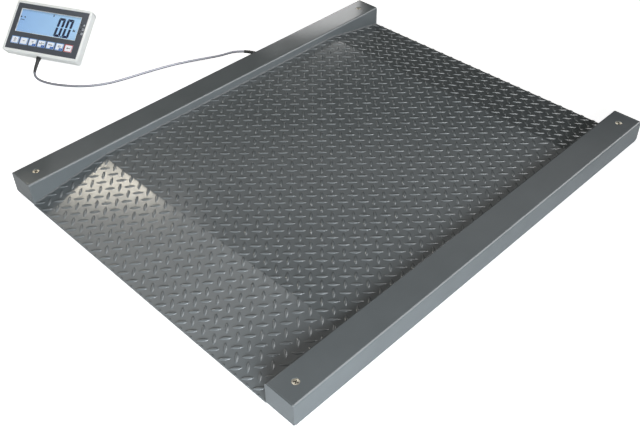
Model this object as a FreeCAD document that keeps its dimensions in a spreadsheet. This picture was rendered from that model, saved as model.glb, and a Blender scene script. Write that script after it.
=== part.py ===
import FreeCAD, Part
import math
import os
import re
import Sketcher
from FreeCAD import Placement, Rotation, Vector

# Drive-through floor scale: a low steel bridge with a ramp at each end and a rail along each side,
# carried on four load cells with levelling feet, and a weighing terminal on a cable beside it.
# Millimetres. X is the driving direction, +Y is the terminal's side, Z is up from the floor.
# The origin is on the floor, midway between the four feet.

SIZES = [
    ("platform_length", 1200, "overall length in the driving direction"),
    ("platform_width", 960, "overall width over both rails"),
    ("floor_clearance", 6, "gap between the rails and the floor"),
    ("rail_width", 76, "width of a side rail"),
    ("rail_top", 62, "height of the rail's top above the floor"),
    ("rail_sheet", 4, "sheet thickness of the rails"),
    ("rail_bend", 5, "outer radius of the rail's folded edges"),
    ("cap_sheet", 4, "thickness of the rails' end caps"),
    ("cap_corner", 4, "radius of the cap's lower outer corner"),
    ("deck_top", 40, "height of the deck's plain surface"),
    ("deck_sheet", 4, "thickness of the tread plate"),
    ("deck_bend", 14, "inner radius of the bends between deck and ramps"),
    ("ramp_run", 200, "horizontal length of a ramp"),
    ("lip_top", 7, "height of the ramp's upper edge at its lip"),
    ("cross_width", 40, "width of a cross member"),
    ("cross_depth", 24, "depth of a cross member"),
    ("cross_wall", 2.5, "wall of a cross member"),
    ("cross_count", 5, "number of cross members"),
    ("cross_inset", 30, "outer cross member's middle from the bend between deck and ramp"),
    ("rib_sheet", 5, "thickness of a ramp rib"),
    ("rib_count", 6, "number of ribs under a ramp"),
    ("rib_inset", 64, "outer ramp ribs from the rails' inner webs"),
    ("rib_floor_gap", 10, "height of the rib's lower edge above the floor"),
    ("rib_tip", 3, "depth of a rib at its thin end"),
    ("foot_inset", 42, "distance of a foot from the rail's end"),
    ("cell_length", 130, "length of a load cell"),
    ("cell_width", 30, "width of a load cell"),
    ("cell_height", 28, "height of a load cell"),
    ("cell_bottom", 22, "height of the load cell's underside above the floor"),
    ("cell_nose", 18, "load cell beyond the foot's centre"),
    ("beam_hole_radius", 8, "radius of the two holes that form the flexing beams"),
    ("beam_hole_first", 27, "first of those holes from the foot's centre"),
    ("beam_hole_pitch", 23, "distance between those holes"),
    ("beam_slot", 4, "height of the slot that joins those holes"),
    ("cell_bolt_radius", 4.95, "shank radius of a load cell bolt"),
    ("cell_bolt_gap", 0.3, "radial room round that shank in the load cell"),
    ("cell_bolt_inset", 13, "outer load cell bolt from the cell's fixed end"),
    ("cell_bolt_pitch", 25, "distance between the two load cell bolts"),
    ("cell_bolt_head", 8, "radius of that bolt's head"),
    ("cell_bolt_head_depth", 8, "height of that bolt's head"),
    ("cell_bolt_key", 4.6, "radius over corners of the bolt head's hexagon"),
    ("cell_bolt_key_depth", 4.8, "depth of that hexagon"),
    ("spacer_length", 52, "length of the tapped block over the cell's fixed end"),
    ("spacer_width", 40, "width of that block"),
    ("foot_shaft_radius", 6, "radius of the foot's threaded spindle"),
    ("foot_shaft_gap", 0.05, "running clearance of the spindle in the load cell"),
    ("foot_thread_pitch", 1.75, "pitch of the spindle's thread"),
    ("foot_ball_radius", 6.4, "radius of the spindle's ball end"),
    ("foot_ball_height", 9, "height of the ball's centre above the floor"),
    ("foot_ball_gap", 0.3, "clearance of the ball in its socket"),
    ("foot_neck_radius", 4, "radius of the neck over the ball"),
    ("foot_collar_radius", 8, "radius over corners of the spindle's hexagon"),
    ("foot_collar_bottom", 15.5, "height of the hexagon's underside"),
    ("foot_collar_depth", 3, "height of the hexagon"),
    ("foot_slot_width", 1.6, "width of the spindle's driver slot"),
    ("foot_slot_depth", 2.5, "depth of the spindle's driver slot"),
    ("pad_radius", 22.5, "radius of the foot pad"),
    ("pad_rim", 4, "height of the pad's rim"),
    ("pad_top", 14, "height of the pad's socket"),
    ("pad_top_radius", 11, "radius of the pad at its top"),
    ("plug_radius", 8.1, "radius of the access plug's head"),
    ("plug_gap", 0.2, "radial room round the plug's head in the rail"),
    ("plug_recess", 1.5, "depth of the plug's face below the rail's top"),
    ("plug_stem_radius", 6.6, "radius of the plug's stem"),
    ("plug_stem_gap", 0.1, "radial room round the stem in its seat"),
    ("plug_slot_width", 2, "width of the plug's cross slots"),
    ("plug_slot_length", 10.5, "length of the plug's cross slots"),
    ("plug_slot_depth", 1.2, "depth of the plug's cross slots"),
    ("plug_turn", 30, "turn of the plugs' slots in degrees"),
    ("seat_radius", 14, "radius of the ring welded under the access hole"),
    ("seat_depth", 4, "height of that ring"),
    ("cable_radius", 3.5, "radius of the terminal cable"),
    ("cell_cable_radius", 2.5, "radius of a load cell cable"),
    ("cell_cable_bend", 30, "bend radius of a load cell cable"),
    ("rail_gland_x", 198, "place of the cable gland along the rail"),
    ("rail_gland_z", 30, "height of the cable gland on the rail"),
    ("rail_gland_radius", 8, "thread radius of the cable gland on the rail"),
    ("rail_gland_flats", 11, "radius over corners of that gland's hexagons"),
    ("rail_gland_collar", 6, "height of that gland's outer hexagon"),
    ("rail_gland_dome", 12, "length of that gland's dome nut"),
    ("rail_gland_dome_root", 9.35, "radius of the dome nut at the hexagon"),
    ("rail_gland_dome_end", 7.25, "radius of the dome nut at its mouth"),
    ("rail_gland_nut", 5, "height of that gland's lock nut"),
    ("boot_bend", 72, "bend radius of the cable's protection sleeve"),
    ("boot_turn", 40, "turn of that sleeve in degrees"),
    ("boot_root_radius", 6, "radius of the sleeve at the gland"),
    ("boot_end_radius", 4.6, "radius of the sleeve at its free end"),
    ("box_length", 104, "length of the junction box"),
    ("box_width", 58, "width of the junction box"),
    ("box_height", 44, "height of the junction box with its lid"),
    ("box_wall", 3, "wall of the junction box"),
    ("box_lid", 4, "thickness of the junction box's lid"),
    ("box_corner", 4, "corner radius of the junction box"),
    ("box_x", 106, "place of the junction box's middle along the rail"),
    ("box_gland_radius", 6, "thread radius of the junction box's glands"),
    ("box_gland_flats", 7.5, "radius over corners of those glands"),
    ("box_gland_length", 10, "length of those glands outside the box"),
    ("box_row_low", 27, "height of the lower row of glands"),
    ("box_row_high", 46, "height of the upper row of glands"),
    ("box_row_half", 14, "sideways place of the glands from the rail's middle"),
    ("board_sheet", 1.6, "thickness of the circuit boards"),
    ("board_margin", 12, "summing board's edge from the junction box's wall"),
    ("board_post", 5, "height of the summing board's posts"),
    ("terminal_block", 8, "width and height of a screw terminal block on the summing board"),
    ("terminal_block_length", 10, "length of that block"),
    ("terminal_block_pitch", 18, "distance between those blocks"),
    ("web_hole_radius", 9, "radius of the cable hole in the rails' inner webs"),
    ("clip_width", 8, "length of a cable clip along the cable"),
    ("clip_wall", 1.5, "wall of a cable clip"),
    ("clip_gap", 0.1, "room round the cable in its clip"),
    ("clip_first", 100, "first cable clip from the load cell's end"),
    ("clip_pitch", 140, "distance between cable clips"),
    ("terminal_x", -202.8, "place of the terminal's panel centre"),
    ("terminal_y", 961.5, "place of the terminal's panel centre"),
    ("terminal_z", 94.7, "height of the terminal's panel centre"),
    ("terminal_yaw", 296.1, "heading of the terminal's width, degrees from +X"),
    ("terminal_tilt", 37.3, "angle between the terminal's panel and the floor"),
    ("housing_width", 250, "width of the terminal"),
    ("housing_height", 160, "height of the terminal"),
    ("housing_depth", 58, "depth of the terminal behind the panel"),
    ("housing_corner", 9, "corner radius of the terminal"),
    ("housing_wall", 3, "wall of the terminal's shells"),
    ("housing_edge", 2.5, "rounding of the terminal's front edge"),
    ("front_depth", 24, "depth of the front shell behind the panel"),
    ("rim_rise", 1.5, "rim's height over the panel"),
    ("gasket_sheet", 0.8, "thickness of the gasket between the shells"),
    ("gasket_width", 2, "width of that gasket"),
    ("back_step", 2, "rear shell's step in from the front shell"),
    ("back_side_taper", 20, "taper of the rear shell on each side"),
    ("back_top_taper", 10, "taper of the rear shell at its top"),
    ("back_foot_taper", 8, "taper of the rear shell at its bottom"),
    ("back_edge", 4, "rounding of the rear shell's back edges"),
    ("rim_side", 7, "width of the front shell's rim beside the dark panel"),
    ("rim_end", 9, "width of the front shell's rim over and under the dark panel"),
    ("panel_sheet", 1.5, "thickness of the dark panel"),
    ("panel_gap", 0.2, "room round the panel in the front shell"),
    ("panel_corner", 3, "corner radius of the panel"),
    ("wall_behind", 3, "front shell's wall behind the panel"),
    ("window_width", 200, "width of the display window"),
    ("window_height", 73, "height of the display window"),
    ("window_x", -3, "window's centre from the panel's centre"),
    ("window_y", 19.5, "window's centre above the panel's centre"),
    ("window_ledge", 1.5, "front shell's ledge behind the window"),
    ("module_margin", 1, "display module's edge beyond the ledge's opening"),
    ("module_depth", 8, "depth of the display module"),
    ("main_board_margin", 15, "main board's edge in from the window's side"),
    ("chip_width", 14, "width of the processor on the main board"),
    ("chip_height", 2, "height of that processor"),
    ("chip_x", 30, "processor's place left of the window's centre"),
    ("header_length", 30, "length of the connector on the main board"),
    ("header_width", 8, "width of that connector"),
    ("header_height", 6, "height of that connector"),
    ("header_x", 50, "connector's place right of the window's centre"),
    ("header_y", 20, "connector's place below the window's centre"),
    ("can_radius", 5, "radius of the capacitor on the main board"),
    ("can_height", 8, "height of that capacitor"),
    ("can_x", 10, "capacitor's place right of the window's centre"),
    ("can_y", 18, "capacitor's place above the window's centre"),
    ("key_count", 7, "number of keys"),
    ("key_width", 25, "width of a key"),
    ("key_height", 22, "height of a key"),
    ("key_pitch", 29.5, "distance between keys"),
    ("key_first_x", -92, "first key's centre from the panel's centre"),
    ("key_y", -43, "keys' centre from the panel's centre"),
    ("key_gap", 0.25, "room round a key in the panel"),
    ("key_rise", 0.8, "key's height over the panel"),
    ("key_flange", 1, "flange round the key's root"),
    ("key_stop_gap", 0.2, "room between the flange and the shell"),
    ("key_travel", 0.5, "travel of a key"),
    ("key_corner", 1.5, "corner radius of a key"),
    ("key_stem_radius", 2, "radius of the stem under a key"),
    ("key_stem_length", 2.4, "length of the stem under a key"),
    ("dome_radius", 4, "radius of the switch under a key"),
    ("dome_height", 2, "height of the switch under a key"),
    ("lamp_x", 103, "indicator lamps' place from the panel's centre"),
    ("lamp_y", 20, "middle lamp's place from the panel's centre"),
    ("lamp_pitch", 13.5, "distance between the lamps"),
    ("lamp_radius", 1.5, "radius of a lamp"),
    ("lamp_strip", 6, "width of the board under the lamps"),
    ("screw_x", 90, "housing screws' place from the panel's centre"),
    ("screw_y", 60, "housing screws' place from the panel's centre"),
    ("screw_radius", 1.5, "radius of a housing screw"),
    ("screw_head_radius", 3, "radius of a housing screw's head"),
    ("screw_head_depth", 2.4, "height of a housing screw's head"),
    ("screw_seat", 6, "rear shell's material under a housing screw's head"),
    ("screw_grip", 9.6, "length of a housing screw in the front shell's boss"),
    ("boss_radius", 4, "radius of the housing's screw bosses"),
    ("boss_drill", 12, "depth of the hole in a boss"),
    ("terminal_gland_x", -6, "place of the terminal's cable gland"),
    ("terminal_gland_z", -12, "place of the terminal's cable gland behind the panel"),
    ("terminal_gland_radius", 5.5, "thread radius of the terminal's gland"),
    ("terminal_gland_flats", 7.5, "radius over corners of the terminal's gland"),
    ("terminal_gland_length", 25, "length of the terminal's gland with its sleeve"),
    ("terminal_gland_nut", 7.5, "height of that gland's hexagon"),
    ("terminal_sleeve_root", 6, "radius of that sleeve at the hexagon"),
    ("terminal_sleeve_wall", 1, "wall of that sleeve at its mouth"),
    ("battery_width", 90, "width of the battery pack"),
    ("battery_height", 52, "height of the battery pack"),
    ("battery_depth", 22, "depth of the battery pack"),
    ("stand_y", 38, "stand's hinge above the panel's centre"),
    ("stand_offset", 4.5, "stand's hinge behind the rear shell"),
    ("stand_width", 110, "width of the stand"),
    ("stand_sheet", 3.5, "thickness of the stand"),
    ("stand_knuckle", 4, "radius of the stand's knuckle"),
    ("stand_pin_radius", 2, "radius of the stand's hinge pin"),
    ("stand_pin_gap", 0.05, "running clearance of the pin in the knuckle"),
    ("stand_side_gap", 0.5, "room between the stand and its lugs"),
    ("stand_floor_gap", 0.3, "room between the stand's foot and the floor"),
    ("stand_opening", 60, "width of the stand's opening"),
    ("stand_head_rail", 19, "stand's hinge axis above its opening"),
    ("stand_foot_rail", 15, "height of the stand below its opening"),
    ("lug_sheet", 6, "thickness of the hinge lugs"),
    ("lug_margin", 1, "lugs' radius beyond the stand's knuckle"),
    ("rest_x", 80, "rubber rests' place from the panel's centre"),
    ("rest_y", -46, "rubber rests' place from the panel's centre"),
    ("rest_radius", 7, "radius of a rubber rest"),
]

# The terminal cable's route from the rail to the terminal, chosen by eye along its lie on the floor.
CABLE_FIRST_RUN = 28
CABLE_ROUTE = [
    (136, 595, 16), (105, 628, 6.5), (62, 656, 3.5), (5, 679, 3.5), (-75, 701, 3.5), (-142, 716, 3.5),
    (-195, 738, 3.5), (-237, 773, 3.5), (-268, 813, 3.5), (-288, 850, 3.5), (-298, 882, 3.8),
    (-298, 908, 6.5),
]
CABLE_LAST_RUN = 17

doc = FreeCAD.newDocument("floor_scale")
sheet = doc.addObject("Spreadsheet::Sheet", "Sizes")
for row, (alias, number, meaning) in enumerate(SIZES, start=1):
    sheet.set(f"A{row}", alias)
    sheet.set(f"B{row}", str(number))
    sheet.set(f"C{row}", meaning)
    sheet.setAlias(f"B{row}", alias)
doc.recompute()
NAMES = {alias for alias, number, meaning in SIZES}
NODES = {}


def size(alias):
    """The value of one cell of the sheet."""
    return float(sheet.get(alias))


def formula(text):
    """An expression in the sheet's names, as the document wants it."""
    return re.sub(r"[a-z]\w*", lambda word: "Sizes." * (word[0] in NAMES) + word[0], str(text))


def bind(item, prop, text):
    """Tie one property of an object to the sheet."""
    item.setExpression(prop, formula(text))


def keep(label, item, place=None):
    """Make an object the sub-part of this name."""
    item.Label = label
    if place is not None:
        item.Placement = place
    NODES[label] = item
    return item


# Sketched bodies

def origin_plane(body, role):
    return next(item for item in body.Origin.OriginFeatures if item.Role == role)


def sketch_in(body, role, height="0"):
    """An empty sketch on one of the body's planes, at a height along the plane's normal."""
    sketch = body.newObject("Sketcher::SketchObject", "Sketch")
    sketch.AttachmentSupport = [(origin_plane(body, role), "")]
    sketch.MapMode = "FlatFace"
    bind(sketch, "AttachmentOffset.Base.z", height)
    return sketch


def pin_point(sketch, line, end, x, y):
    """Hold one end of a line, or a circle's centre, at (x, y)."""
    for kind, text in (("DistanceX", x), ("DistanceY", y)):
        index = sketch.addConstraint(Sketcher.Constraint(kind, -1, 1, line, end, 1.0))
        bind(sketch, f"Constraints[{index}]", text)


def draw_outline(sketch, corners):
    """A closed outline of straight lines through corners given in the sheet's names."""
    first = sketch.GeometryCount
    count = len(corners)
    circle = [Vector(10 * math.cos(2 * math.pi * i / count), 10 * math.sin(2 * math.pi * i / count), 0)
              for i in range(count)]
    for i in range(count):
        sketch.addGeometry(Part.LineSegment(circle[i], circle[(i + 1) % count]))
    for i in range(count):
        sketch.addConstraint(Sketcher.Constraint("Coincident", first + i, 2, first + (i + 1) % count, 1))
    for i, (x, y) in enumerate(corners):
        pin_point(sketch, first + i, 1, x, y)


def draw_rectangle(sketch, x, y, width, height):
    """A rectangle round the point (x, y)."""
    left, right = f"{x} - ({width}) / 2", f"{x} + ({width}) / 2"
    low, high = f"{y} - ({height}) / 2", f"{y} + ({height}) / 2"
    draw_outline(sketch, [(left, low), (right, low), (right, high), (left, high)])


def draw_circle(sketch, x, y, radius):
    index = sketch.addGeometry(Part.Circle(Vector(1, 1, 0), Vector(0, 0, 1), 1))
    pin_point(sketch, index, 3, x, y)
    rule = sketch.addConstraint(Sketcher.Constraint("Radius", index, 1.0))
    bind(sketch, f"Constraints[{rule}]", radius)


def pad(body, sketch, length, both_ways=False, reverse=False):
    feature = body.newObject("PartDesign::Pad", "Pad")
    feature.Profile = sketch
    feature.SideType = "Symmetric" if both_ways else "One side"
    feature.Reversed = reverse
    bind(feature, "Length", length)
    doc.recompute()
    return feature


def pocket(body, sketch, length=None, both_ways=False, reverse=False):
    """Cut a sketch out of the body, right through it when no length is given."""
    before = body.Shape.Volume
    feature = body.newObject("PartDesign::Pocket", "Pocket")
    feature.Profile = sketch
    feature.SideType = "Symmetric" if both_ways else "One side"
    feature.Reversed = reverse
    if length is None:
        feature.Type = "ThroughAll"
    else:
        bind(feature, "Length", length)
    doc.recompute()
    if not feature.Shape.Volume < before:
        raise RuntimeError(f"{body.Label}: a pocket cuts nothing")
    return feature


def revolve(body, sketch):
    """Turn a profile in the XZ plane round the Z axis."""
    feature = body.newObject("PartDesign::Revolution", "Revolution")
    feature.Profile = sketch
    feature.ReferenceAxis = (sketch, ["V_Axis"])
    feature.Angle = 360
    doc.recompute()
    return feature


def fillet(body, chosen, radius):
    """Round the edges of the body's last feature that chosen(edge) picks."""
    base = body.Tip
    names = [f"Edge{i}" for i, edge in enumerate(base.Shape.Edges, start=1) if chosen(edge)]
    if not names:
        raise RuntimeError(f"{body.Label}: no edge to round")
    feature = body.newObject("PartDesign::Fillet", "Fillet")
    feature.Base = (base, names)
    bind(feature, "Radius", radius)
    doc.recompute()
    return feature


def runs_along(edge, axis):
    """Whether a straight edge runs along X, Y or Z (0, 1, 2)."""
    if len(edge.Vertexes) != 2:
        return False
    step = edge.Vertexes[1].Point - edge.Vertexes[0].Point
    return abs(abs(step[axis]) - step.Length) < 1e-6


def new_body(label):
    body = doc.addObject("PartDesign::Body", label)
    body.Label = label
    return body


# Primitives and booleans

def primitive(kind, sizes, at=("0", "0", "0"), turn=None):
    """A primitive whose sizes and place are tied to the sheet."""
    item = doc.addObject(kind, "Item")
    for prop, text in sizes.items():
        bind(item, prop, text)
    if turn is not None:
        item.Placement = Placement(Vector(), turn)
    for letter, text in zip("xyz", at):
        bind(item, "Placement.Base." + letter, text)
    return item


def block(width, depth, height, x="0", y="0", bottom="0"):
    """A box centred on (x, y) that stands on the height bottom."""
    return primitive("Part::Box", {"Length": width, "Width": depth, "Height": height},
                     (f"{x} - ({width}) / 2", f"{y} - ({depth}) / 2", bottom))


def rod(radius, length, x="0", y="0", bottom="0", turn=None):
    return primitive("Part::Cylinder", {"Radius": radius, "Height": length}, (x, y, bottom), turn)


def hexagon(radius, length, x="0", y="0", bottom="0", turn=None):
    return primitive("Part::Prism", {"Circumradius": radius, "Height": length}, (x, y, bottom), turn)


def fuse(items):
    result = doc.addObject("Part::MultiFuse", "Fuse")
    result.Shapes = items
    return result


def cut(base, tools):
    result = doc.addObject("Part::Cut", "Cut")
    result.Base = base
    result.Tool = tools[0] if len(tools) == 1 else fuse(tools)
    return result


def group(items):
    """Several solids kept together as one sub-part."""
    result = doc.addObject("Part::Compound", "Group")
    result.Links = items
    return result


def fixed(name, shape):
    """A shape that is worked out here from the sheet's values."""
    item = doc.addObject("Part::Feature", name)
    item.Shape = shape
    return item


def copies(shape, places):
    """The same shape at several places, kept together."""
    return Part.makeCompound([shape.transformed(place.toMatrix()) for place in places])


# Places that several sub-parts share

HALF_LENGTH = size("platform_length") / 2
RAIL_MIDDLE = (size("platform_width") - size("rail_width")) / 2
FOOT_X = HALF_LENGTH - size("foot_inset")
HALF_TURN = Rotation(Vector(0, 0, 1), 180)
# Corner numbers run anticlockwise seen from above, from the end the driver leaves on the terminal's side.
CORNERS = [(1, 1), (-1, 1), (-1, -1), (1, -1)]
RAIL_UNDER_TOP = "(rail_top - rail_sheet)"
DECK_SPAN = "(platform_width - 2 * rail_width)"
CROSS_REACH = "(platform_length / 2 - ramp_run - cross_inset)"
PANEL_WIDTH = "(housing_width - 2 * rim_side)"
PANEL_HEIGHT = "(housing_height - 2 * rim_end)"
SLOPE = "((deck_top - lip_top) / ramp_run)"
SLANT = f"sqrt(1 + {SLOPE} ^ 2)"


def foot_place(corner, height=0.0):
    """A foot's axis, with +X turned towards the middle of the platform."""
    along, across = CORNERS[corner]
    turn = HALF_TURN if along > 0 else Rotation()
    return Placement(Vector(along * FOOT_X, across * RAIL_MIDDLE, height), turn)


def terminal_place():
    """The terminal's own frame: x along its width, y up its panel, z out of the panel."""
    turn = Rotation(Vector(0, 0, 1), size("terminal_yaw"))
    tilt = Rotation(Vector(1, 0, 0), size("terminal_tilt"))
    return Placement(Vector(size("terminal_x"), size("terminal_y"), size("terminal_z")), turn * tilt)


TERMINAL = terminal_place()


# The bridge

def deck_plate():
    """One tread plate folded down to a ramp at each end."""
    body = new_body("deck_plate")
    sketch = sketch_in(body, "XZ_Plane")
    fold_in = f"(deck_sheet * ({SLANT} - 1) / {SLOPE})"
    lip_under = f"lip_top - deck_sheet * {SLANT}"
    half = [("platform_length / 2", lip_under), ("platform_length / 2", "lip_top"),
            ("platform_length / 2 - ramp_run", "deck_top")]
    under = (f"platform_length / 2 - ramp_run - {fold_in}", "deck_top - deck_sheet")
    other_half = [(f"-({x})", z) for x, z in reversed(half)]
    draw_outline(sketch, [under] + half + other_half + [(f"-({under[0]})", under[1])])
    pad(body, sketch, DECK_SPAN, both_ways=True)
    fold = HALF_LENGTH - size("ramp_run")
    top = size("deck_top")

    def at_fold(edge, height):
        point = edge.Vertexes[0].Point
        return runs_along(edge, 1) and abs(abs(point.x) - fold) < 2 and abs(point.z - height) < 0.01
    fillet(body, lambda edge: at_fold(edge, top), "deck_bend + deck_sheet")
    fillet(body, lambda edge: at_fold(edge, top - size("deck_sheet")), "deck_bend")
    keep("deck_plate", body)


def cross_members():
    """Tubes under the deck, welded to the rails' inner webs."""
    bottom = "deck_top - deck_sheet - cross_depth"
    tubes = []
    for step in range(int(size("cross_count"))):
        x = f"({2 * step} / (cross_count - 1) - 1) * {CROSS_REACH}"
        outer = block("cross_width", DECK_SPAN, "cross_depth", x, "0", bottom)
        inner = block("cross_width - 2 * cross_wall", f"{DECK_SPAN} + 2", "cross_depth - 2 * cross_wall",
                      x, "0", f"{bottom} + cross_wall")
        tubes.append(cut(outer, [inner]))
    keep("cross_members", group(tubes))


def ramp_ribs():
    """Wedges that carry each ramp, welded to the outer cross member and the ramp's underside."""
    start = f"({CROSS_REACH} + cross_width / 2)"
    outermost = f"({DECK_SPAN} / 2 - rib_inset)"
    past_fold = f"({start} - platform_length / 2 + ramp_run)"
    under_start = f"(deck_top - deck_sheet * {SLANT} - {past_fold} * {SLOPE})"
    tip_top = "(rib_floor_gap + rib_tip)"
    reach = f"(({under_start} - {tip_top}) / {SLOPE})"
    ribs = []
    for side in (1, -1):
        turn = Rotation(Vector(0, 0, 1), -90 * side)
        for step in range(int(size("rib_count"))):
            across = f"{side} * ({2 * step} / (rib_count - 1) - 1) * {outermost}"
            sizes = {"Xmin": "-rib_sheet / 2", "Xmax": "rib_sheet / 2", "X2min": "-rib_sheet / 2",
                     "X2max": "rib_sheet / 2", "Ymin": "0", "Ymax": reach,
                     "Zmin": "rib_floor_gap", "Zmax": f"min(deck_top - deck_sheet; {under_start})",
                     "Z2min": "rib_floor_gap", "Z2max": tip_top}
            ribs.append(primitive("Part::Wedge", sizes, (f"{side} * {start}", across, "0"), turn))
    keep("ramp_ribs", group(ribs))


def rail(label, side):
    """A folded channel, open below, with an access hole over each foot."""
    body = new_body(label)
    half, inner = "rail_width / 2", "(rail_width / 2 - rail_sheet)"
    sketch = sketch_in(body, "YZ_Plane")
    draw_outline(sketch, [(f"-{half}", "floor_clearance"), (f"-{inner}", "floor_clearance"),
                          (f"-{inner}", RAIL_UNDER_TOP), (inner, RAIL_UNDER_TOP),
                          (inner, "floor_clearance"), (half, "floor_clearance"),
                          (half, "rail_top"), (f"-{half}", "rail_top")])
    pad(body, sketch, "platform_length - 2 * cap_sheet", both_ways=True)
    top = size("rail_top")
    under = top - size("rail_sheet")

    def folded(edge, height):
        return runs_along(edge, 0) and abs(edge.Vertexes[0].Point.z - height) < 0.01
    fillet(body, lambda edge: folded(edge, top), "rail_bend")
    fillet(body, lambda edge: folded(edge, under), "rail_bend - rail_sheet")
    holes = sketch_in(body, "XY_Plane", "rail_top + 1")
    for end in (1, -1):
        draw_circle(holes, f"{end} * (platform_length / 2 - foot_inset)", "0", "plug_radius + plug_gap")
    pocket(body, holes, "rail_sheet + 2")
    inner_web = sketch_in(body, "XZ_Plane", f"{side} * rail_width / 2")
    draw_circle(inner_web, "0", "deck_top - deck_sheet - cross_depth / 2", "web_hole_radius")
    pocket(body, inner_web, "3 * rail_sheet", both_ways=True)
    if side > 0:
        outer_web = sketch_in(body, "XZ_Plane", "-rail_width / 2")
        draw_circle(outer_web, "rail_gland_x", "rail_gland_z", "rail_gland_radius + cell_bolt_gap")
        pocket(body, outer_web, "3 * rail_sheet", both_ways=True)
    keep(label, body, Placement(Vector(0, side * RAIL_MIDDLE, 0), Rotation()))


def end_cap(label, corner):
    """A plate that closes one end of a rail, rounded where it meets the rail's folds."""
    along, across = CORNERS[corner]
    body = new_body(label)
    sketch = sketch_in(body, "YZ_Plane")
    draw_rectangle(sketch, "0", "(rail_top + floor_clearance) / 2",
                   "rail_width", "rail_top - floor_clearance")
    pad(body, sketch, "cap_sheet")
    top = size("rail_top")
    outer = size("rail_width") / 2

    def upper(edge):
        return runs_along(edge, 0) and abs(edge.Vertexes[0].Point.z - top) < 0.01

    def lower_outer(edge):
        point = edge.Vertexes[0].Point
        return runs_along(edge, 0) and point.z < top / 2 and abs(point.y - outer * across * along) < 0.01
    fillet(body, upper, "rail_bend")
    fillet(body, lower_outer, "cap_corner")
    turn = Rotation() if along > 0 else HALF_TURN
    x = along * (HALF_LENGTH - size("cap_sheet"))
    keep(label, body, Placement(Vector(x, across * RAIL_MIDDLE, 0), turn))


# Load cells and feet

def load_cell(label, corner):
    """A bending beam: bored and slotted in the middle, tapped for the foot, bolted at its inner end."""
    body = new_body(label)
    sketch = sketch_in(body, "XY_Plane")
    draw_rectangle(sketch, "(cell_length / 2 - cell_nose)", "0", "cell_length", "cell_width")
    pad(body, sketch, "cell_height")
    second = "(beam_hole_first + beam_hole_pitch)"
    bores = sketch_in(body, "XZ_Plane")
    for x in ("beam_hole_first", second):
        draw_circle(bores, x, "cell_height / 2", "beam_hole_radius")
    pocket(body, bores, "cell_width + 2", both_ways=True)
    slot = sketch_in(body, "XZ_Plane")
    draw_rectangle(slot, "(beam_hole_first + beam_hole_pitch / 2)", "cell_height / 2",
                   "beam_hole_pitch", "beam_slot")
    pocket(body, slot, "cell_width + 2", both_ways=True)
    holes = sketch_in(body, "XY_Plane")
    draw_circle(holes, "0", "0", "foot_shaft_radius + foot_shaft_gap")
    for x in cell_bolt_places():
        draw_circle(holes, x, "0", "cell_bolt_radius + cell_bolt_gap")
    pocket(body, holes, None, reverse=True)
    keep(label, body, foot_place(corner, size("cell_bottom")))


def cell_bolt_places():
    outer = "(cell_length - cell_nose - cell_bolt_inset)"
    return (f"({outer} - cell_bolt_pitch)", outer)


def cell_spacers():
    """Tapped blocks welded under the rails' tops, one over each load cell's fixed end."""
    height = f"{RAIL_UNDER_TOP} - cell_bottom - cell_height"
    bottom = "cell_bottom + cell_height"
    base = block("spacer_length", "spacer_width", height,
                 "(cell_length - cell_nose - spacer_length / 2)", "0", bottom)
    drills = [rod("cell_bolt_radius", height, x, "0", bottom) for x in cell_bolt_places()]
    item = cut(base, drills)
    doc.recompute()
    places = [foot_place(corner) for corner in range(len(CORNERS))]
    keep("cell_spacers", fixed("cell_spacers", copies(item.Shape, places)))


def cell_bolts():
    """Socket screws that hold each load cell's fixed end up against its spacer."""
    bolts = []
    for x in cell_bolt_places():
        head = rod("cell_bolt_head", "cell_bolt_head_depth", x, "0", "cell_bottom - cell_bolt_head_depth")
        shank = rod("cell_bolt_radius", f"{RAIL_UNDER_TOP} - cell_bottom", x, "0", "cell_bottom")
        socket = hexagon("cell_bolt_key", "cell_bolt_key_depth", x, "0",
                         "cell_bottom - cell_bolt_head_depth")
        bolts.append(cut(fuse([head, shank]), [socket]))
    item = group(bolts)
    doc.recompute()
    places = [foot_place(corner) for corner in range(len(CORNERS))]
    keep("cell_bolts", fixed("cell_bolts", copies(item.Shape, places)))


def foot_pad(label, corner):
    """A round rubber-soled pad with a socket for the spindle's ball."""
    solid = new_body(label + "_blank")
    sketch = sketch_in(solid, "XZ_Plane")
    draw_outline(sketch, [("0", "0"), ("pad_radius", "0"), ("pad_radius", "pad_rim"),
                          ("pad_top_radius", "pad_top"), ("0", "pad_top")])
    revolve(solid, sketch)
    ball = primitive("Part::Sphere", {"Radius": "foot_ball_radius + foot_ball_gap"},
                     ("0", "0", "foot_ball_height"))
    mouth = rod("foot_neck_radius + 2 * foot_ball_gap", "pad_top", "0", "0", "foot_ball_height")
    keep(label, cut(solid, [ball, mouth]), foot_place(corner))


def foot_spindle(label, corner):
    """A threaded spindle with a ball end, a hexagon and a driver slot."""
    top = "(cell_bottom + cell_height)"
    ball = primitive("Part::Sphere", {"Radius": "foot_ball_radius"}, ("0", "0", "foot_ball_height"))
    neck = rod("foot_neck_radius", "foot_collar_bottom - foot_ball_height", "0", "0", "foot_ball_height")
    collar = hexagon("foot_collar_radius", "foot_collar_depth", "0", "0", "foot_collar_bottom")
    shaft = rod("foot_shaft_radius", f"{top} - foot_collar_bottom", "0", "0", "foot_collar_bottom")
    slot = block("foot_slot_width", "3 * foot_shaft_radius", "foot_slot_depth + 1", "0", "0",
                 f"{top} - foot_slot_depth")
    keep(label, cut(fuse([ball, neck, collar, shaft]), [slot]), foot_place(corner))


def plug_seats():
    """Rings welded under the access holes, which the plugs screw into."""
    bottom = f"{RAIL_UNDER_TOP} - seat_depth"
    ring = cut(rod("seat_radius", "seat_depth", "0", "0", bottom),
               [rod("plug_stem_radius + plug_stem_gap", "seat_depth", "0", "0", bottom)])
    doc.recompute()
    places = [foot_place(corner) for corner in range(len(CORNERS))]
    keep("plug_seats", fixed("plug_seats", copies(ring.Shape, places)))


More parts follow.
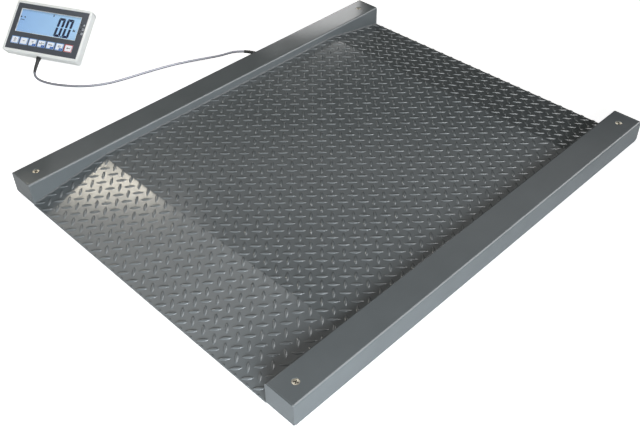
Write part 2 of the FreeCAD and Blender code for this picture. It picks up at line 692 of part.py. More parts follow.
def access_plugs():
    """Plated screw plugs over the feet, with a cross slot for the driver or a coin."""
    head_height = "(rail_sheet - plug_recess)"
    face = "(rail_top - plug_recess)"
    head = rod("plug_radius", head_height, "0", "0", RAIL_UNDER_TOP)
    stem = rod("plug_stem_radius", "seat_depth", "0", "0", f"{RAIL_UNDER_TOP} - seat_depth")
    slot_bottom = f"{face} - plug_slot_depth"
    slots = [block("plug_slot_length", "plug_slot_width", "plug_slot_depth + 1", "0", "0", slot_bottom),
             block("plug_slot_width", "plug_slot_length", "plug_slot_depth + 1", "0", "0", slot_bottom)]
    plug = cut(fuse([head, stem]), slots)
    doc.recompute()
    spin = Placement(Vector(), Rotation(Vector(0, 0, 1), size("plug_turn")))
    places = [foot_place(corner) * spin for corner in range(len(CORNERS))]
    keep("access_plugs", fixed("access_plugs", copies(plug.Shape, places)))


# Junction box and cables inside the rails

BOX_PLACE = Placement(Vector(size("box_x"), RAIL_MIDDLE, 0), Rotation())
# The end of the box, the side and the row that each cable's gland is at.
BOX_GLANDS = {"terminal": (1, -1, "box_row_low"), "cell 1": (1, 1, "box_row_high"),
              "cell 2": (-1, -1, "box_row_high"), "cell 3": (-1, -1, "box_row_low"),
              "cell 4": (-1, 1, "box_row_low")}


def box_bottom():
    return f"({RAIL_UNDER_TOP} - box_height)"


def gland_axis(end):
    """A cylinder's turn so that it runs out of the box's end."""
    return Rotation(Vector(0, 1, 0), 90 * end)


def junction_box_base():
    """The junction box's tray, screwed up under the rail's top, open below."""
    body = new_body("junction_box_base")
    sketch = sketch_in(body, "XY_Plane", f"{box_bottom()} + box_lid")
    draw_rectangle(sketch, "0", "0", "box_length", "box_width")
    pad(body, sketch, "box_height - box_lid")
    fillet(body, lambda edge: runs_along(edge, 2), "box_corner")
    room = sketch_in(body, "XY_Plane", f"{box_bottom()} + box_lid")
    draw_rectangle(room, "0", "0", "box_length - 2 * box_wall", "box_width - 2 * box_wall")
    pocket(body, room, "box_height - box_lid - box_wall", reverse=True)
    for end in (1, -1):
        holes = sketch_in(body, "YZ_Plane", f"{end} * box_length / 2")
        for side, across, height in BOX_GLANDS.values():
            if side == end:
                draw_circle(holes, f"{across} * box_row_half", height, "box_gland_radius")
        pocket(body, holes, "3 * box_wall", both_ways=True)
    keep("junction_box_base", body, BOX_PLACE)


def junction_box_lid():
    """The junction box's lid, which closes it from below."""
    body = new_body("junction_box_lid")
    sketch = sketch_in(body, "XY_Plane", box_bottom())
    draw_rectangle(sketch, "0", "0", "box_length", "box_width")
    pad(body, sketch, "box_lid")
    fillet(body, lambda edge: runs_along(edge, 2), "box_corner")
    keep("junction_box_lid", body, BOX_PLACE)


def junction_board():
    """The summing board, on four posts from the tray's ceiling."""
    posts_height = "(box_wall + board_post)"
    board_top = f"({RAIL_UNDER_TOP} - box_wall - {posts_height})"
    edge = "2 * (box_wall + board_margin)"
    width, depth = f"(box_length - {edge})", f"(box_width - {edge})"
    board = block(width, depth, "board_sheet", "0", "0", f"{board_top} - board_sheet")
    posts = [rod("box_wall", posts_height, f"{i} * ({width} / 2 - box_wall)",
                 f"{j} * ({depth} / 2 - box_wall)", board_top) for i in (1, -1) for j in (1, -1)]
    blocks = [block("terminal_block_length", "terminal_block", "terminal_block",
                    f"{i} * terminal_block_pitch", "0", f"{board_top} - board_sheet - terminal_block")
              for i in (-1, 0, 1)]
    keep("junction_board", fuse([board] + posts + blocks), BOX_PLACE)


def junction_box_glands():
    """A cable gland for each load cell and one for the terminal cable."""
    glands = []
    for cable, (end, across, height) in BOX_GLANDS.items():
        y = f"{across} * box_row_half"
        bore = "cable_radius" if cable == "terminal" else "cell_cable_radius"
        turn = gland_axis(end)
        inside = f"{end} * (box_length / 2 - box_wall)"
        shank = rod("box_gland_radius", "box_wall", inside, y, height, turn)
        nut = hexagon("box_gland_flats", "box_gland_length", f"{end} * box_length / 2", y, height, turn)
        hole = rod(bore, "box_gland_length + box_wall", inside, y, height, turn)
        glands.append(cut(fuse([shank, nut]), [hole]))
    keep("junction_box_glands", group(glands), BOX_PLACE)


def arc_path(points, radii):
    """A wire of straight runs through the points, joined by tangent arcs of the given radii."""
    edges = []
    start = points[0]
    for i in range(1, len(points) - 1):
        before = (points[i - 1] - points[i]).normalize()
        after = (points[i + 1] - points[i]).normalize()
        half = math.acos(max(-1.0, min(1.0, -before.dot(after)))) / 2
        trim = radii[i - 1] * math.tan(half)
        leave, enter = points[i] + before * trim, points[i] + after * trim
        bulge = (before + after).normalize()
        middle = points[i] + bulge * (radii[i - 1] / math.cos(half) - radii[i - 1])
        if (leave - start).Length > 1e-6:
            edges.append(Part.LineSegment(start, leave).toShape())
        edges.append(Part.Arc(leave, middle, enter).toShape())
        start = enter
    edges.append(Part.LineSegment(start, points[-1]).toShape())
    return Part.Wire(edges)


def bend_radii(points):
    """The largest arc that each corner's two runs leave room for."""
    radii = []
    for i in range(1, len(points) - 1):
        before, after = points[i] - points[i - 1], points[i + 1] - points[i]
        turn = before.getAngle(after)
        radii.append(0.45 * min(before.Length, after.Length) / math.tan(turn / 2))
    return radii


def tube(label, points, radius, radii):
    """A round cable along a path of straight runs and arcs."""
    path = arc_path(points, radii)
    ring = Part.Wire([Part.makeCircle(radius, points[0], points[1] - points[0])])
    solid = path.makePipeShell([ring], True, False)
    expected = math.pi * radius ** 2 * path.Length
    if abs(solid.Volume - expected) > 0.01 * expected:
        raise RuntimeError(f"{label}: the tube's volume is {solid.Volume:.0f}, not {expected:.0f}")
    print(f"{label}: length {path.Length:.0f}, bend radii " + " ".join(f"{r:.0f}" for r in radii))
    return solid


def box_gland_mouth(cable):
    """The point where a cable enters its gland in the junction box."""
    end, across, height = BOX_GLANDS[cable]
    reach = size("box_length") / 2 + size("box_gland_length")
    return Vector(size("box_x") + end * reach, RAIL_MIDDLE + across * size("box_row_half"), size(height))


def cell_cable_start(corner):
    """The point where a load cell's cable leaves its fixed end, and the height of its middle."""
    along, across = CORNERS[corner]
    x = FOOT_X - size("cell_length") + size("cell_nose")
    return Vector(along * x, across * RAIL_MIDDLE, size("cell_bottom") + size("cell_height") / 2)


def beside_box(corner):
    """Whether a corner's load cell is in the same rail as the junction box."""
    return CORNERS[corner][1] > 0


def straight_run_end(corner):
    """Where along the rail a load cell's cable ends its straight run from the cell."""
    bend = size("cell_cable_bend")
    way = -CORNERS[corner][0]
    if beside_box(corner):
        return box_gland_mouth(f"cell {corner + 1}").x - way * 4 * bend
    return -way * 2 * size("cell_cable_radius") - way * 3 * bend


def inside_cables():
    """The load cells' cables to the junction box, and the terminal cable's end inside the rail."""
    thin = size("cell_cable_radius")
    bend = size("cell_cable_bend")
    web_height = size("deck_top") - size("deck_sheet") - size("cross_depth") / 2
    solids = []
    for corner in range(len(CORNERS)):
        start, mouth = cell_cable_start(corner), box_gland_mouth(f"cell {corner + 1}")
        way = -CORNERS[corner][0]
        lane = Vector(straight_run_end(corner), start.y, start.z)
        if beside_box(corner):
            # Straight runs along the rail, stepping over to the gland.
            points = [start, lane, Vector(mouth.x - way * bend, mouth.y, mouth.z), mouth]
            radii = [bend, bend]
        else:
            # Along the other rail, then across through the middle cross member.
            x = -way * 2 * thin
            points = [start, lane, Vector(x - way * 1.5 * bend, start.y, web_height),
                      Vector(x, start.y, web_height), Vector(x, mouth.y, web_height), mouth]
            radii = [bend, bend, 0.8 * bend, 0.8 * bend]
        solids.append(tube(f"cable of load cell {corner + 1}", points, thin, radii))
    mouth = box_gland_mouth("terminal")
    lock_nut = size("platform_width") / 2 - size("rail_sheet") - size("rail_gland_nut")
    entry = Vector(size("rail_gland_x"), lock_nut, size("rail_gland_z"))
    corner_point = Vector(entry.x, mouth.y, mouth.z)
    run = min(entry.y - mouth.y, entry.x - mouth.x)
    solids.append(tube("terminal cable inside the rail", [entry, corner_point, mouth],
                       size("cable_radius"), [0.95 * run]))
    keep("inside_cables", fixed("inside_cables", Part.makeCompound(solids)))


def rail_gland():
    """The cable gland through the rail's outer web, with its lock nut inside."""
    face = "platform_width / 2"
    inside = f"{face} - rail_sheet - rail_gland_nut"
    out = Rotation(Vector(1, 0, 0), -90)
    x, z = "rail_gland_x", "rail_gland_z"
    shank = rod("rail_gland_radius", "rail_sheet + rail_gland_nut", x, inside, z, out)
    nut = hexagon("rail_gland_flats", "rail_gland_nut", x, inside, z, out)
    collar = hexagon("rail_gland_flats", "rail_gland_collar", x, face, z, out)
    dome = primitive("Part::Cone", {"Radius1": "rail_gland_dome_root", "Radius2": "rail_gland_dome_end",
                                    "Height": "rail_gland_dome"}, (x, f"{face} + rail_gland_collar", z), out)
    keep("rail_gland", fuse([shank, nut, collar, dome]))


def boot_arc():
    """The protection sleeve's middle line: its root at the gland, and its end with its direction."""
    root = Vector(size("rail_gland_x"),
                  size("platform_width") / 2 + size("rail_gland_collar") + size("rail_gland_dome"),
                  size("rail_gland_z"))
    bend, turn = size("boot_bend"), math.radians(size("boot_turn"))

    def point(angle):
        return root + Vector(-bend * (1 - math.cos(angle)), bend * math.sin(angle), 0)
    return point(0), point(turn / 2), point(turn), Vector(-math.sin(turn), math.cos(turn), 0)


def cable_boot():
    """The tapered rubber sleeve that guides the terminal cable out of the rail's gland."""
    root, middle, end, direction = boot_arc()
    path = Part.Wire([Part.Arc(root, middle, end).toShape()])
    wide = Part.Wire([Part.makeCircle(size("boot_root_radius"), root, Vector(0, 1, 0))])
    narrow = Part.Wire([Part.makeCircle(size("boot_end_radius"), end, direction)])
    keep("cable_boot", fixed("cable_boot", path.makePipeShell([wide, narrow], True, False)))


def terminal_gland_mouth():
    """The end of the terminal's gland, where the cable leaves it, and the direction out."""
    local = Vector(size("terminal_gland_x"), -size("housing_height") / 2 - size("terminal_gland_length"),
                   size("terminal_gland_z"))
    return TERMINAL.multVec(local), TERMINAL.Rotation.multVec(Vector(0, -1, 0))


def terminal_cable():
    """The cable between the rail and the terminal, lying on the floor."""
    root, middle, end, direction = boot_arc()
    mouth, out = terminal_gland_mouth()
    points = [end, end + direction * CABLE_FIRST_RUN] + [Vector(*p) for p in CABLE_ROUTE]
    points += [mouth + out * CABLE_LAST_RUN, mouth]
    keep("terminal_cable", fixed("terminal_cable", tube("terminal_cable", points, size("cable_radius"),
                                                        bend_radii(points))))


def cable_clips():
    """Clips that hold the load cells' cables under the rails' tops."""
    clips = []
    outer = size("cell_cable_radius") + size("clip_gap") + size("clip_wall")
    top = size("rail_top") - size("rail_sheet")
    width = size("clip_width")
    along = Vector(1, 0, 0)
    for corner in range(len(CORNERS)):
        start, way = cell_cable_start(corner), -CORNERS[corner][0]
        straight = abs(straight_run_end(corner) - start.x)
        for step in range(int((straight - size("clip_first")) // size("clip_pitch")) + 1):
            x = start.x + way * (size("clip_first") + step * size("clip_pitch")) - width / 2
            strap = Part.makeBox(width, 2 * outer, top - start.z, Vector(x, start.y - outer, start.z))
            loop = Part.makeCylinder(outer, width, Vector(x, start.y, start.z), along)
            hole = Part.makeCylinder(outer - size("clip_wall"), width, Vector(x, start.y, start.z), along)
            clips.append(strap.fuse(loop).cut(hole))
    keep("cable_clips", fixed("cable_clips", Part.makeCompound(clips)))


# The terminal

def key_place(index):
    return f"(key_first_x + {index} * key_pitch)"


def front_shell():
    """The moulded front of the terminal: rim, recess for the panel, openings, bosses and cable hole."""
    body = new_body("terminal_front_shell")
    outline = sketch_in(body, "XY_Plane", "-front_depth")
    draw_rectangle(outline, "0", "0", "housing_width", "housing_height")
    pad(body, outline, "front_depth + rim_rise")
    fillet(body, lambda edge: runs_along(edge, 2), "housing_corner")
    front = size("rim_rise")
    fillet(body, lambda edge: all(abs(v.Point.z - front) < 1e-6 for v in edge.Vertexes), "housing_edge")
    recess = sketch_in(body, "XY_Plane", "rim_rise + 1")
    draw_rectangle(recess, "0", "0", f"{PANEL_WIDTH} + 2 * panel_gap", f"{PANEL_HEIGHT} + 2 * panel_gap")
    pocket(body, recess, "1 + rim_rise + panel_sheet")
    room = sketch_in(body, "XY_Plane", "-front_depth")
    draw_rectangle(room, "0", "0", "housing_width - 2 * housing_wall", "housing_height - 2 * housing_wall")
    pocket(body, room, "front_depth - panel_sheet - wall_behind", reverse=True)
    openings = sketch_in(body, "XY_Plane")
    draw_rectangle(openings, "window_x", "window_y", "window_width - 2 * window_ledge",
                   "window_height - 2 * window_ledge")
    for index in range(int(size("key_count"))):
        draw_rectangle(openings, key_place(index), "key_y",
                       "key_width + 2 * key_gap", "key_height + 2 * key_gap")
    for step in (-1, 0, 1):
        draw_circle(openings, "lamp_x", f"lamp_y + {step} * lamp_pitch", "lamp_radius + panel_gap")
    pocket(body, openings, "front_depth - 1")
    bosses = sketch_in(body, "XY_Plane", "-front_depth")
    for i in (1, -1):
        for j in (1, -1):
            draw_circle(bosses, f"{i} * screw_x", f"{j} * screw_y", "boss_radius")
    pad(body, bosses, "front_depth - panel_sheet - wall_behind / 2")
    drills = sketch_in(body, "XY_Plane", "-front_depth")
    for i in (1, -1):
        for j in (1, -1):
            draw_circle(drills, f"{i} * screw_x", f"{j} * screw_y", "screw_radius")
    pocket(body, drills, "boss_drill", reverse=True)
    cable_hole = sketch_in(body, "XZ_Plane", "housing_height / 2 + 1")
    draw_circle(cable_hole, "terminal_gland_x", "terminal_gland_z", "terminal_gland_radius")
    pocket(body, cable_hole, "housing_wall + 2")
    keep("terminal_front_shell", body, TERMINAL)


def back_outline(sketch, inset, at_back):
    """The rear shell's outline at its joint or at its back, set in by a wall."""
    side = f"(housing_width / 2 - back_step - {inset}" + (" - back_side_taper)" if at_back else ")")
    top = f"(housing_height / 2 - back_step - {inset}" + (" - back_top_taper)" if at_back else ")")
    foot = f"(housing_height / 2 - back_step - {inset}" + (" - back_foot_taper)" if at_back else ")")
    draw_outline(sketch, [(f"-{side}", f"-{foot}"), (side, f"-{foot}"), (side, top), (f"-{side}", top)])


def rear_shell():
    """The tapered back of the terminal, with screw wells and the stand's hinge lugs."""
    body = new_body("terminal_rear_shell")
    joint = "-(front_depth + gasket_sheet)"
    wide = sketch_in(body, "XY_Plane", joint)
    back_outline(wide, "0", False)
    narrow = sketch_in(body, "XY_Plane", "-housing_depth")
    back_outline(narrow, "0", True)
    loft = body.newObject("PartDesign::AdditiveLoft", "Loft")
    loft.Profile = wide
    loft.Sections = [narrow]
    loft.Ruled = True
    doc.recompute()
    back = -size("housing_depth")
    front = -(size("front_depth") + size("gasket_sheet"))

    def slanted(edge):
        return abs(edge.Vertexes[0].Point.z - edge.Vertexes[1].Point.z) > 1
    fillet(body, slanted, "housing_corner - back_step")
    fillet(body, lambda edge: all(abs(v.Point.z - back) < 1e-6 for v in edge.Vertexes), "back_edge")
    inner_wide = sketch_in(body, "XY_Plane", joint)
    back_outline(inner_wide, "housing_wall", False)
    inner_narrow = sketch_in(body, "XY_Plane", "-(housing_depth - housing_wall)")
    back_outline(inner_narrow, "housing_wall", True)
    room = body.newObject("PartDesign::SubtractiveLoft", "Room")
    room.Profile = inner_wide
    room.Sections = [inner_narrow]
    room.Ruled = True
    doc.recompute()
    wells = sketch_in(body, "XY_Plane", "-(housing_depth - housing_wall / 2)")
    for i in (1, -1):
        for j in (1, -1):
            draw_circle(wells, f"{i} * screw_x", f"{j} * screw_y", "boss_radius")
    pad(body, wells, "housing_depth - housing_wall / 2 - front_depth - gasket_sheet")
    seat = "-(front_depth + gasket_sheet + screw_seat)"
    for radius, start, depth in (("screw_radius + key_gap", joint, "housing_depth - front_depth"),
                                 ("screw_head_radius", seat, "housing_depth")):
        drills = sketch_in(body, "XY_Plane", start)
        for i in (1, -1):
            for j in (1, -1):
                draw_circle(drills, f"{i} * screw_x", f"{j} * screw_y", radius)
        pocket(body, drills, depth)
    lugs = []
    knuckle = "(stand_knuckle + lug_margin)"
    for side in (1, -1):
        x = f"{side} * (stand_width / 2 + stand_side_gap + lug_sheet / 2)"
        foot = block("lug_sheet", f"2 * {knuckle}", "stand_offset + housing_wall / 2", x, "stand_y",
                     "-(housing_depth + stand_offset)")
        eye = rod(knuckle, "lug_sheet", f"{x} - lug_sheet / 2", "stand_y", "-(housing_depth + stand_offset)",
                  Rotation(Vector(0, 1, 0), 90))
        lugs += [foot, eye]
    hole = rod("stand_pin_radius", "stand_width + 4 * lug_sheet", "-(stand_width / 2 + 2 * lug_sheet)",
               "stand_y", "-(housing_depth + stand_offset)", Rotation(Vector(0, 1, 0), 90))
    body.Label = "rear_shell_blank"
    keep("terminal_rear_shell", cut(fuse([body] + lugs), [hole]), TERMINAL)


def terminal_gasket():
    """The flat gasket between the terminal's two shells."""
    body = new_body("terminal_gasket")
    ring = sketch_in(body, "XY_Plane", "-(front_depth + gasket_sheet)")
    draw_rectangle(ring, "0", "0", "housing_width - 2 * back_step", "housing_height - 2 * back_step")
    draw_rectangle(ring, "0", "0", "housing_width - 2 * back_step - 2 * gasket_width",
                   "housing_height - 2 * back_step - 2 * gasket_width")
    pad(body, ring, "gasket_sheet")
    edge_x = size("housing_width") / 2 - size("back_step")

    def at_outside(edge):
        return abs(edge.Vertexes[0].Point.x) > edge_x - 0.1
    fillet(body, lambda edge: runs_along(edge, 2) and not at_outside(edge),
           "housing_corner - back_step - gasket_width")
    fillet(body, lambda edge: runs_along(edge, 2) and at_outside(edge), "housing_corner - back_step")
    keep("terminal_gasket", body, TERMINAL)


def terminal_panel():
    """The dark front panel, with openings for the window, the keys and the lamps."""
    body = new_body("terminal_panel")
    sketch = sketch_in(body, "XY_Plane", "-panel_sheet")
    draw_rectangle(sketch, "0", "0", PANEL_WIDTH, PANEL_HEIGHT)
    draw_rectangle(sketch, "window_x", "window_y",
                   "window_width + 2 * panel_gap", "window_height + 2 * panel_gap")
    for index in range(int(size("key_count"))):
        draw_rectangle(sketch, key_place(index), "key_y",
                       "key_width + 2 * key_gap", "key_height + 2 * key_gap")
    for step in (-1, 0, 1):
        draw_circle(sketch, "lamp_x", f"lamp_y + {step} * lamp_pitch", "lamp_radius + panel_gap")
    pad(body, sketch, "panel_sheet")
    edge_x = size("housing_width") / 2 - size("rim_side")
    fillet(body, lambda edge: runs_along(edge, 2) and abs(abs(edge.Vertexes[0].Point.x) - edge_x) < 0.01,
           "panel_corner - panel_gap")
    keep("terminal_panel", body, TERMINAL)


def display_window():
    """The clear window over the display, seated on the front shell's ledge."""
    pane = block("window_width", "window_height", "panel_sheet - panel_gap",
                 "window_x", "window_y", "-panel_sheet")
    keep("display_window", group([pane]), TERMINAL)


def display_module():
    """The liquid crystal display with its frame, behind the window."""
    width = "(window_width - 2 * window_ledge + 2 * module_margin)"
    height = "(window_height - 2 * window_ledge + 2 * module_margin)"
    top = "(panel_sheet + wall_behind)"
    frame = block(width, height, "module_depth", "window_x", "window_y", f"-({top} + module_depth)")
    glass = block(f"{width} - 2 * module_margin - 2 * panel_gap",
                  f"{height} - 2 * module_margin - 2 * panel_gap",
                  "wall_behind / 2", "window_x", "window_y", f"-{top}")
    keep("display_module", fuse([frame, glass]), TERMINAL)


def main_board():
    """The terminal's circuit board, behind the display module."""
    top = "(panel_sheet + wall_behind + module_depth)"
    board = block("window_width - 2 * main_board_margin", "window_height", "board_sheet",
                  "window_x", "window_y", f"-({top} + board_sheet)")
    chips = [block("chip_width", "chip_width", "chip_height", "window_x - chip_x", "window_y",
                   f"-({top} + board_sheet + chip_height)"),
             block("header_length", "header_width", "header_height", "window_x + header_x",
                   "window_y - header_y", f"-({top} + board_sheet + header_height)"),
             rod("can_radius", "can_height", "window_x + can_x", "window_y + can_y",
                 f"-({top} + board_sheet + can_height)")]
    lamps = [rod("lamp_radius", "wall_behind + panel_sheet / 2", "lamp_x",
                 f"lamp_y + {step} * lamp_pitch", "-(panel_sheet + wall_behind)") for step in (-1, 0, 1)]
    strip = block("lamp_strip", "3 * lamp_pitch", "board_sheet", "lamp_x", "lamp_y",
                  "-(panel_sheet + wall_behind + board_sheet)")
    keep("main_board", group([fuse([board] + chips), fuse([strip] + lamps)]), TERMINAL)


def keypad_board():
    """The switch board under the keys, on posts from the front shell's wall."""
    stem_end = "(panel_sheet + wall_behind + key_stop_gap + key_flange + key_stem_length)"
    dome_top = f"({stem_end} + key_travel + key_stop_gap)"
    board_top = f"({dome_top} + dome_height)"
    length = "((key_count - 1) * key_pitch + key_width)"
    middle = "(key_first_x + (key_count - 1) * key_pitch / 2)"
    board = block(length, "key_height + key_flange", "board_sheet", middle, "key_y",
                  f"-({board_top} + board_sheet)")
    domes = [rod("dome_radius", "dome_height", key_place(i), "key_y", f"-{board_top}")
             for i in range(int(size("key_count")))]
    posts = [rod("key_stem_radius / 2", f"{board_top} - panel_sheet - wall_behind",
                 f"({key_place(i)} + key_pitch / 2)", f"key_y + {j} * (key_height / 2 - key_flange)",
                 f"-{board_top}")
             for i in (0, int(size("key_count")) - 2) for j in (1, -1)]
    keep("keypad_board", fuse([board] + domes + posts), TERMINAL)


def key(label, index):
    """One key: a flat cap with rounded corners, a flange that stops it and a stem over its switch."""
    body = new_body(label)
    root = "(panel_sheet + wall_behind + key_stop_gap + key_flange)"
    cap = sketch_in(body, "XY_Plane", f"-{root}")
    draw_rectangle(cap, "0", "0", "key_width", "key_height")
    pad(body, cap, f"{root} + key_rise")
    fillet(body, lambda edge: runs_along(edge, 2), "key_corner")
    flange = sketch_in(body, "XY_Plane", f"-{root}")
    draw_rectangle(flange, "0", "0", "key_width + 2 * key_flange", "key_height + key_flange")
    pad(body, flange, "key_flange")
    stem = sketch_in(body, "XY_Plane", f"-{root}")
    draw_circle(stem, "0", "0", "key_stem_radius")
    pad(body, stem, "key_stem_length", reverse=True)
    local = Placement(Vector(size("key_first_x") + index * size("key_pitch"), size("key_y"), 0), Rotation())
    keep(label, body, TERMINAL * local)


def battery_pack():
    """The rechargeable battery, in the back of the terminal."""
    body = new_body("battery_pack")
    sketch = sketch_in(body, "XY_Plane", "-(housing_depth - housing_wall)")
    draw_rectangle(sketch, "0", "0", "battery_width", "battery_height")
    pad(body, sketch, "battery_depth")
    fillet(body, lambda edge: runs_along(edge, 2), "box_corner")
    keep("battery_pack", body, TERMINAL)


def housing_screws():
    """The four screws that hold the terminal's shells together from the back."""
    start = "(front_depth + gasket_sheet + screw_seat)"
    screws = []
    for i in (1, -1):
        for j in (1, -1):
            x, y = f"{i} * screw_x", f"{j} * screw_y"
            shank = rod("screw_radius", "screw_seat + gasket_sheet + screw_grip", x, y, f"-{start}")
            head = rod("screw_head_radius - panel_gap", "screw_head_depth", x, y,
                       f"-({start} + screw_head_depth)")
            screws.append(fuse([shank, head]))
    keep("housing_screws", group(screws), TERMINAL)


def terminal_gland():
    """The black strain relief in the terminal's lower side."""
    out = Rotation(Vector(1, 0, 0), 90)
    x, z = "terminal_gland_x", "terminal_gland_z"
    face = "housing_height / 2"
    shank = rod("terminal_gland_radius", "housing_wall", x, f"-({face} - housing_wall)", z, out)
    nut = hexagon("terminal_gland_flats", "terminal_gland_nut", x, f"-({face})", z, out)
    sleeve = primitive("Part::Cone", {"Radius1": "terminal_sleeve_root",
                                      "Radius2": "cable_radius + terminal_sleeve_wall",
                                      "Height": "terminal_gland_length - terminal_gland_nut"},
                       (x, f"-({face} + terminal_gland_nut)", z), out)
    keep("terminal_gland", fuse([shank, nut, sleeve]), TERMINAL)


def stand_place():
    """The stand's hinge axis along x, with the stand hanging straight down from it."""
    hinge = Vector(0, size("stand_y"), -size("housing_depth") - size("stand_offset"))
    upright = Rotation(Vector(1, 0, 0), -size("terminal_tilt"))
    return TERMINAL * Placement(hinge, upright)


def stand_leg():
    """The flap at the terminal's back that props it up and folds flat."""
    reach = stand_place().Base.z - size("stand_floor_gap")
    across = Rotation(Vector(0, 1, 0), 90)
    knuckle = rod("stand_knuckle", "stand_width", "-stand_width / 2", "0", "0", across)
    flap = primitive("Part::Box", {"Length": "stand_width", "Width": "stand_sheet"},
                     ("-stand_width / 2", "-stand_sheet / 2", "0"))
    flap.Height = reach
    bind(flap, "Placement.Base.z", f"-{reach}")
    relief = block("stand_opening", "2 * stand_sheet", f"{reach} - stand_head_rail - stand_foot_rail",
                   "0", "0", f"stand_foot_rail - {reach}")
    bore = rod("stand_pin_radius + stand_pin_gap", "stand_width + 2",
               "-stand_width / 2 - 1", "0", "0", across)
    keep("stand_leg", cut(fuse([knuckle, flap]), [relief, bore]), stand_place())


def stand_hinge_pin():
    """The pin through the lugs and the stand's knuckle."""
    half = "(stand_width / 2 + stand_side_gap + lug_sheet)"
    pin = rod("stand_pin_radius", f"2 * {half}", f"-{half}", "0", "0", Rotation(Vector(0, 1, 0), 90))
    keep("stand_hinge_pin", group([pin]), stand_place())


def terminal_rests():
    """Two rubber rests under the terminal's lower back edge, cut to its slope."""
    rests = []
    for side in (1, -1):
        spot = TERMINAL.multVec(Vector(side * size("rest_x"), size("rest_y"), -size("housing_depth")))
        stud = Part.makeCylinder(size("rest_radius"), 2 * spot.z, Vector(spot.x, spot.y, 0))
        above = Part.makeBox(4 * size("rest_radius"), 8 * size("rest_radius"), size("housing_depth"),
                             Vector(side * size("rest_x") - 2 * size("rest_radius"),
                                    size("rest_y") - 4 * size("rest_radius"), -size("housing_depth")))
        rests.append(stud.cut(above.transformed(TERMINAL.toMatrix())))
    keep("terminal_rests", fixed("terminal_rests", Part.makeCompound(rests)))


def build():
    deck_plate()
    cross_members()
    ramp_ribs()
    rail("left_rail", 1)
    rail("right_rail", -1)
    for corner in range(len(CORNERS)):
        end_cap(f"end_cap_{corner + 1}", corner)
        load_cell(f"load_cell_{corner + 1}", corner)
        foot_pad(f"foot_pad_{corner + 1}", corner)
        foot_spindle(f"foot_spindle_{corner + 1}", corner)
    cell_spacers()
    cell_bolts()
    plug_seats()
    access_plugs()
    junction_box_base()
    junction_box_lid()
    junction_board()
    junction_box_glands()
    inside_cables()
    cable_clips()
    rail_gland()
    cable_boot()
    terminal_cable()
    front_shell()
    rear_shell()
    terminal_gasket()
    terminal_panel()
    display_window()
    display_module()
    main_board()
    keypad_board()
    for index in range(int(size("key_count"))):
        key(f"key_{index + 1}", index)
    battery_pack()
    housing_screws()
    terminal_gland()
    stand_leg()
    stand_hinge_pin()
    terminal_rests()


def check():
    """Stop if any object failed or any sub-part has no sound shape."""
    for item in doc.Objects:
        if "Invalid" in item.State or "Error" in item.State:
            raise RuntimeError(f"{item.Label} failed: {item.State}")
    for label, item in NODES.items():
        if item.Shape.isNull() or not item.Shape.isValid() or not item.Shape.Solids:
            raise RuntimeError(f"{label} has no sound shape")


build()
doc.recompute()
check()
os.makedirs("parts", exist_ok=True)
for label, item in NODES.items():
    item.Shape.exportStep(f"parts/{label}.step")
print(len(NODES), "sub-parts written")
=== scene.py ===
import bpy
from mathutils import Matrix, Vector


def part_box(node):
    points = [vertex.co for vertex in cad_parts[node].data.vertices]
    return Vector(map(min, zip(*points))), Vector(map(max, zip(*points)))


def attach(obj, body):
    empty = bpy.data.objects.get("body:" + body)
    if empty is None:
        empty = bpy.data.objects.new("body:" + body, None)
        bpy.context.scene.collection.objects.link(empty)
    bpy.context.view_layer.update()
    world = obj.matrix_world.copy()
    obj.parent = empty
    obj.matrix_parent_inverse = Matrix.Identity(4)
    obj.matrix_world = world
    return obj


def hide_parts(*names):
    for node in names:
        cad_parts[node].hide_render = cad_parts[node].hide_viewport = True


bl_info = {
    "name": "Drive-through floor scale",
    "version": (1, 0, 0),
    "blender": (4, 5, 0),
    "location": "3D View > Sidebar > Floor scale",
    "description": "Finishes, tread, welds, cable, prints and stage for the packed floor scale",
    "category": "Object",
}

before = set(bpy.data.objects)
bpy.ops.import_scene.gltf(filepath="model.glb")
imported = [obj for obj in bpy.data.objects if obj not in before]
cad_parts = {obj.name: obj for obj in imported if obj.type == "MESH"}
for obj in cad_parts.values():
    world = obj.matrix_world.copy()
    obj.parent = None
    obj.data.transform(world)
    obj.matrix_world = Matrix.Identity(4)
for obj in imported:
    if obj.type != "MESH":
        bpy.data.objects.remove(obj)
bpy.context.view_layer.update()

import math

import bmesh
import bpy
from bpy.props import FloatProperty, FloatVectorProperty, PointerProperty
from bpy.types import Operator, Panel, PropertyGroup
from mathutils import Matrix, Quaternion, Vector

MM = 0.001

# The platform, in metres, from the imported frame.
HALF_LENGTH, HALF_SPAN, DECK_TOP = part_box("deck_plate")[1]
CAP_PLANE, RAIL_OUTSIDE, RAIL_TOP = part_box("left_rail")[1]
RAIL_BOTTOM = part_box("left_rail")[0].z
RAIL_BEND = 5 * MM
PLUG_PLACE = (558 * MM, 442 * MM)
PLUG_FACE = 60.5 * MM

# The deck's sheet: a ramp's length in plan, its lip's height, the fold's outer radius, and from the
# middle of the flat sheet to where a fold starts and to the sheet's end.
RAMP_RUN = 200 * MM
LIP_TOP = 7 * MM
FOLD_RADIUS = 18 * MM
RAMP_ANGLE = math.atan2(DECK_TOP - LIP_TOP, RAMP_RUN)
FOLD_SETBACK = FOLD_RADIUS * math.tan(RAMP_ANGLE / 2)
FOLD_START = HALF_LENGTH - RAMP_RUN - FOLD_SETBACK
SHEET_HALF = (FOLD_START + FOLD_RADIUS * RAMP_ANGLE + RAMP_RUN / math.cos(RAMP_ANGLE)
              - FOLD_SETBACK)

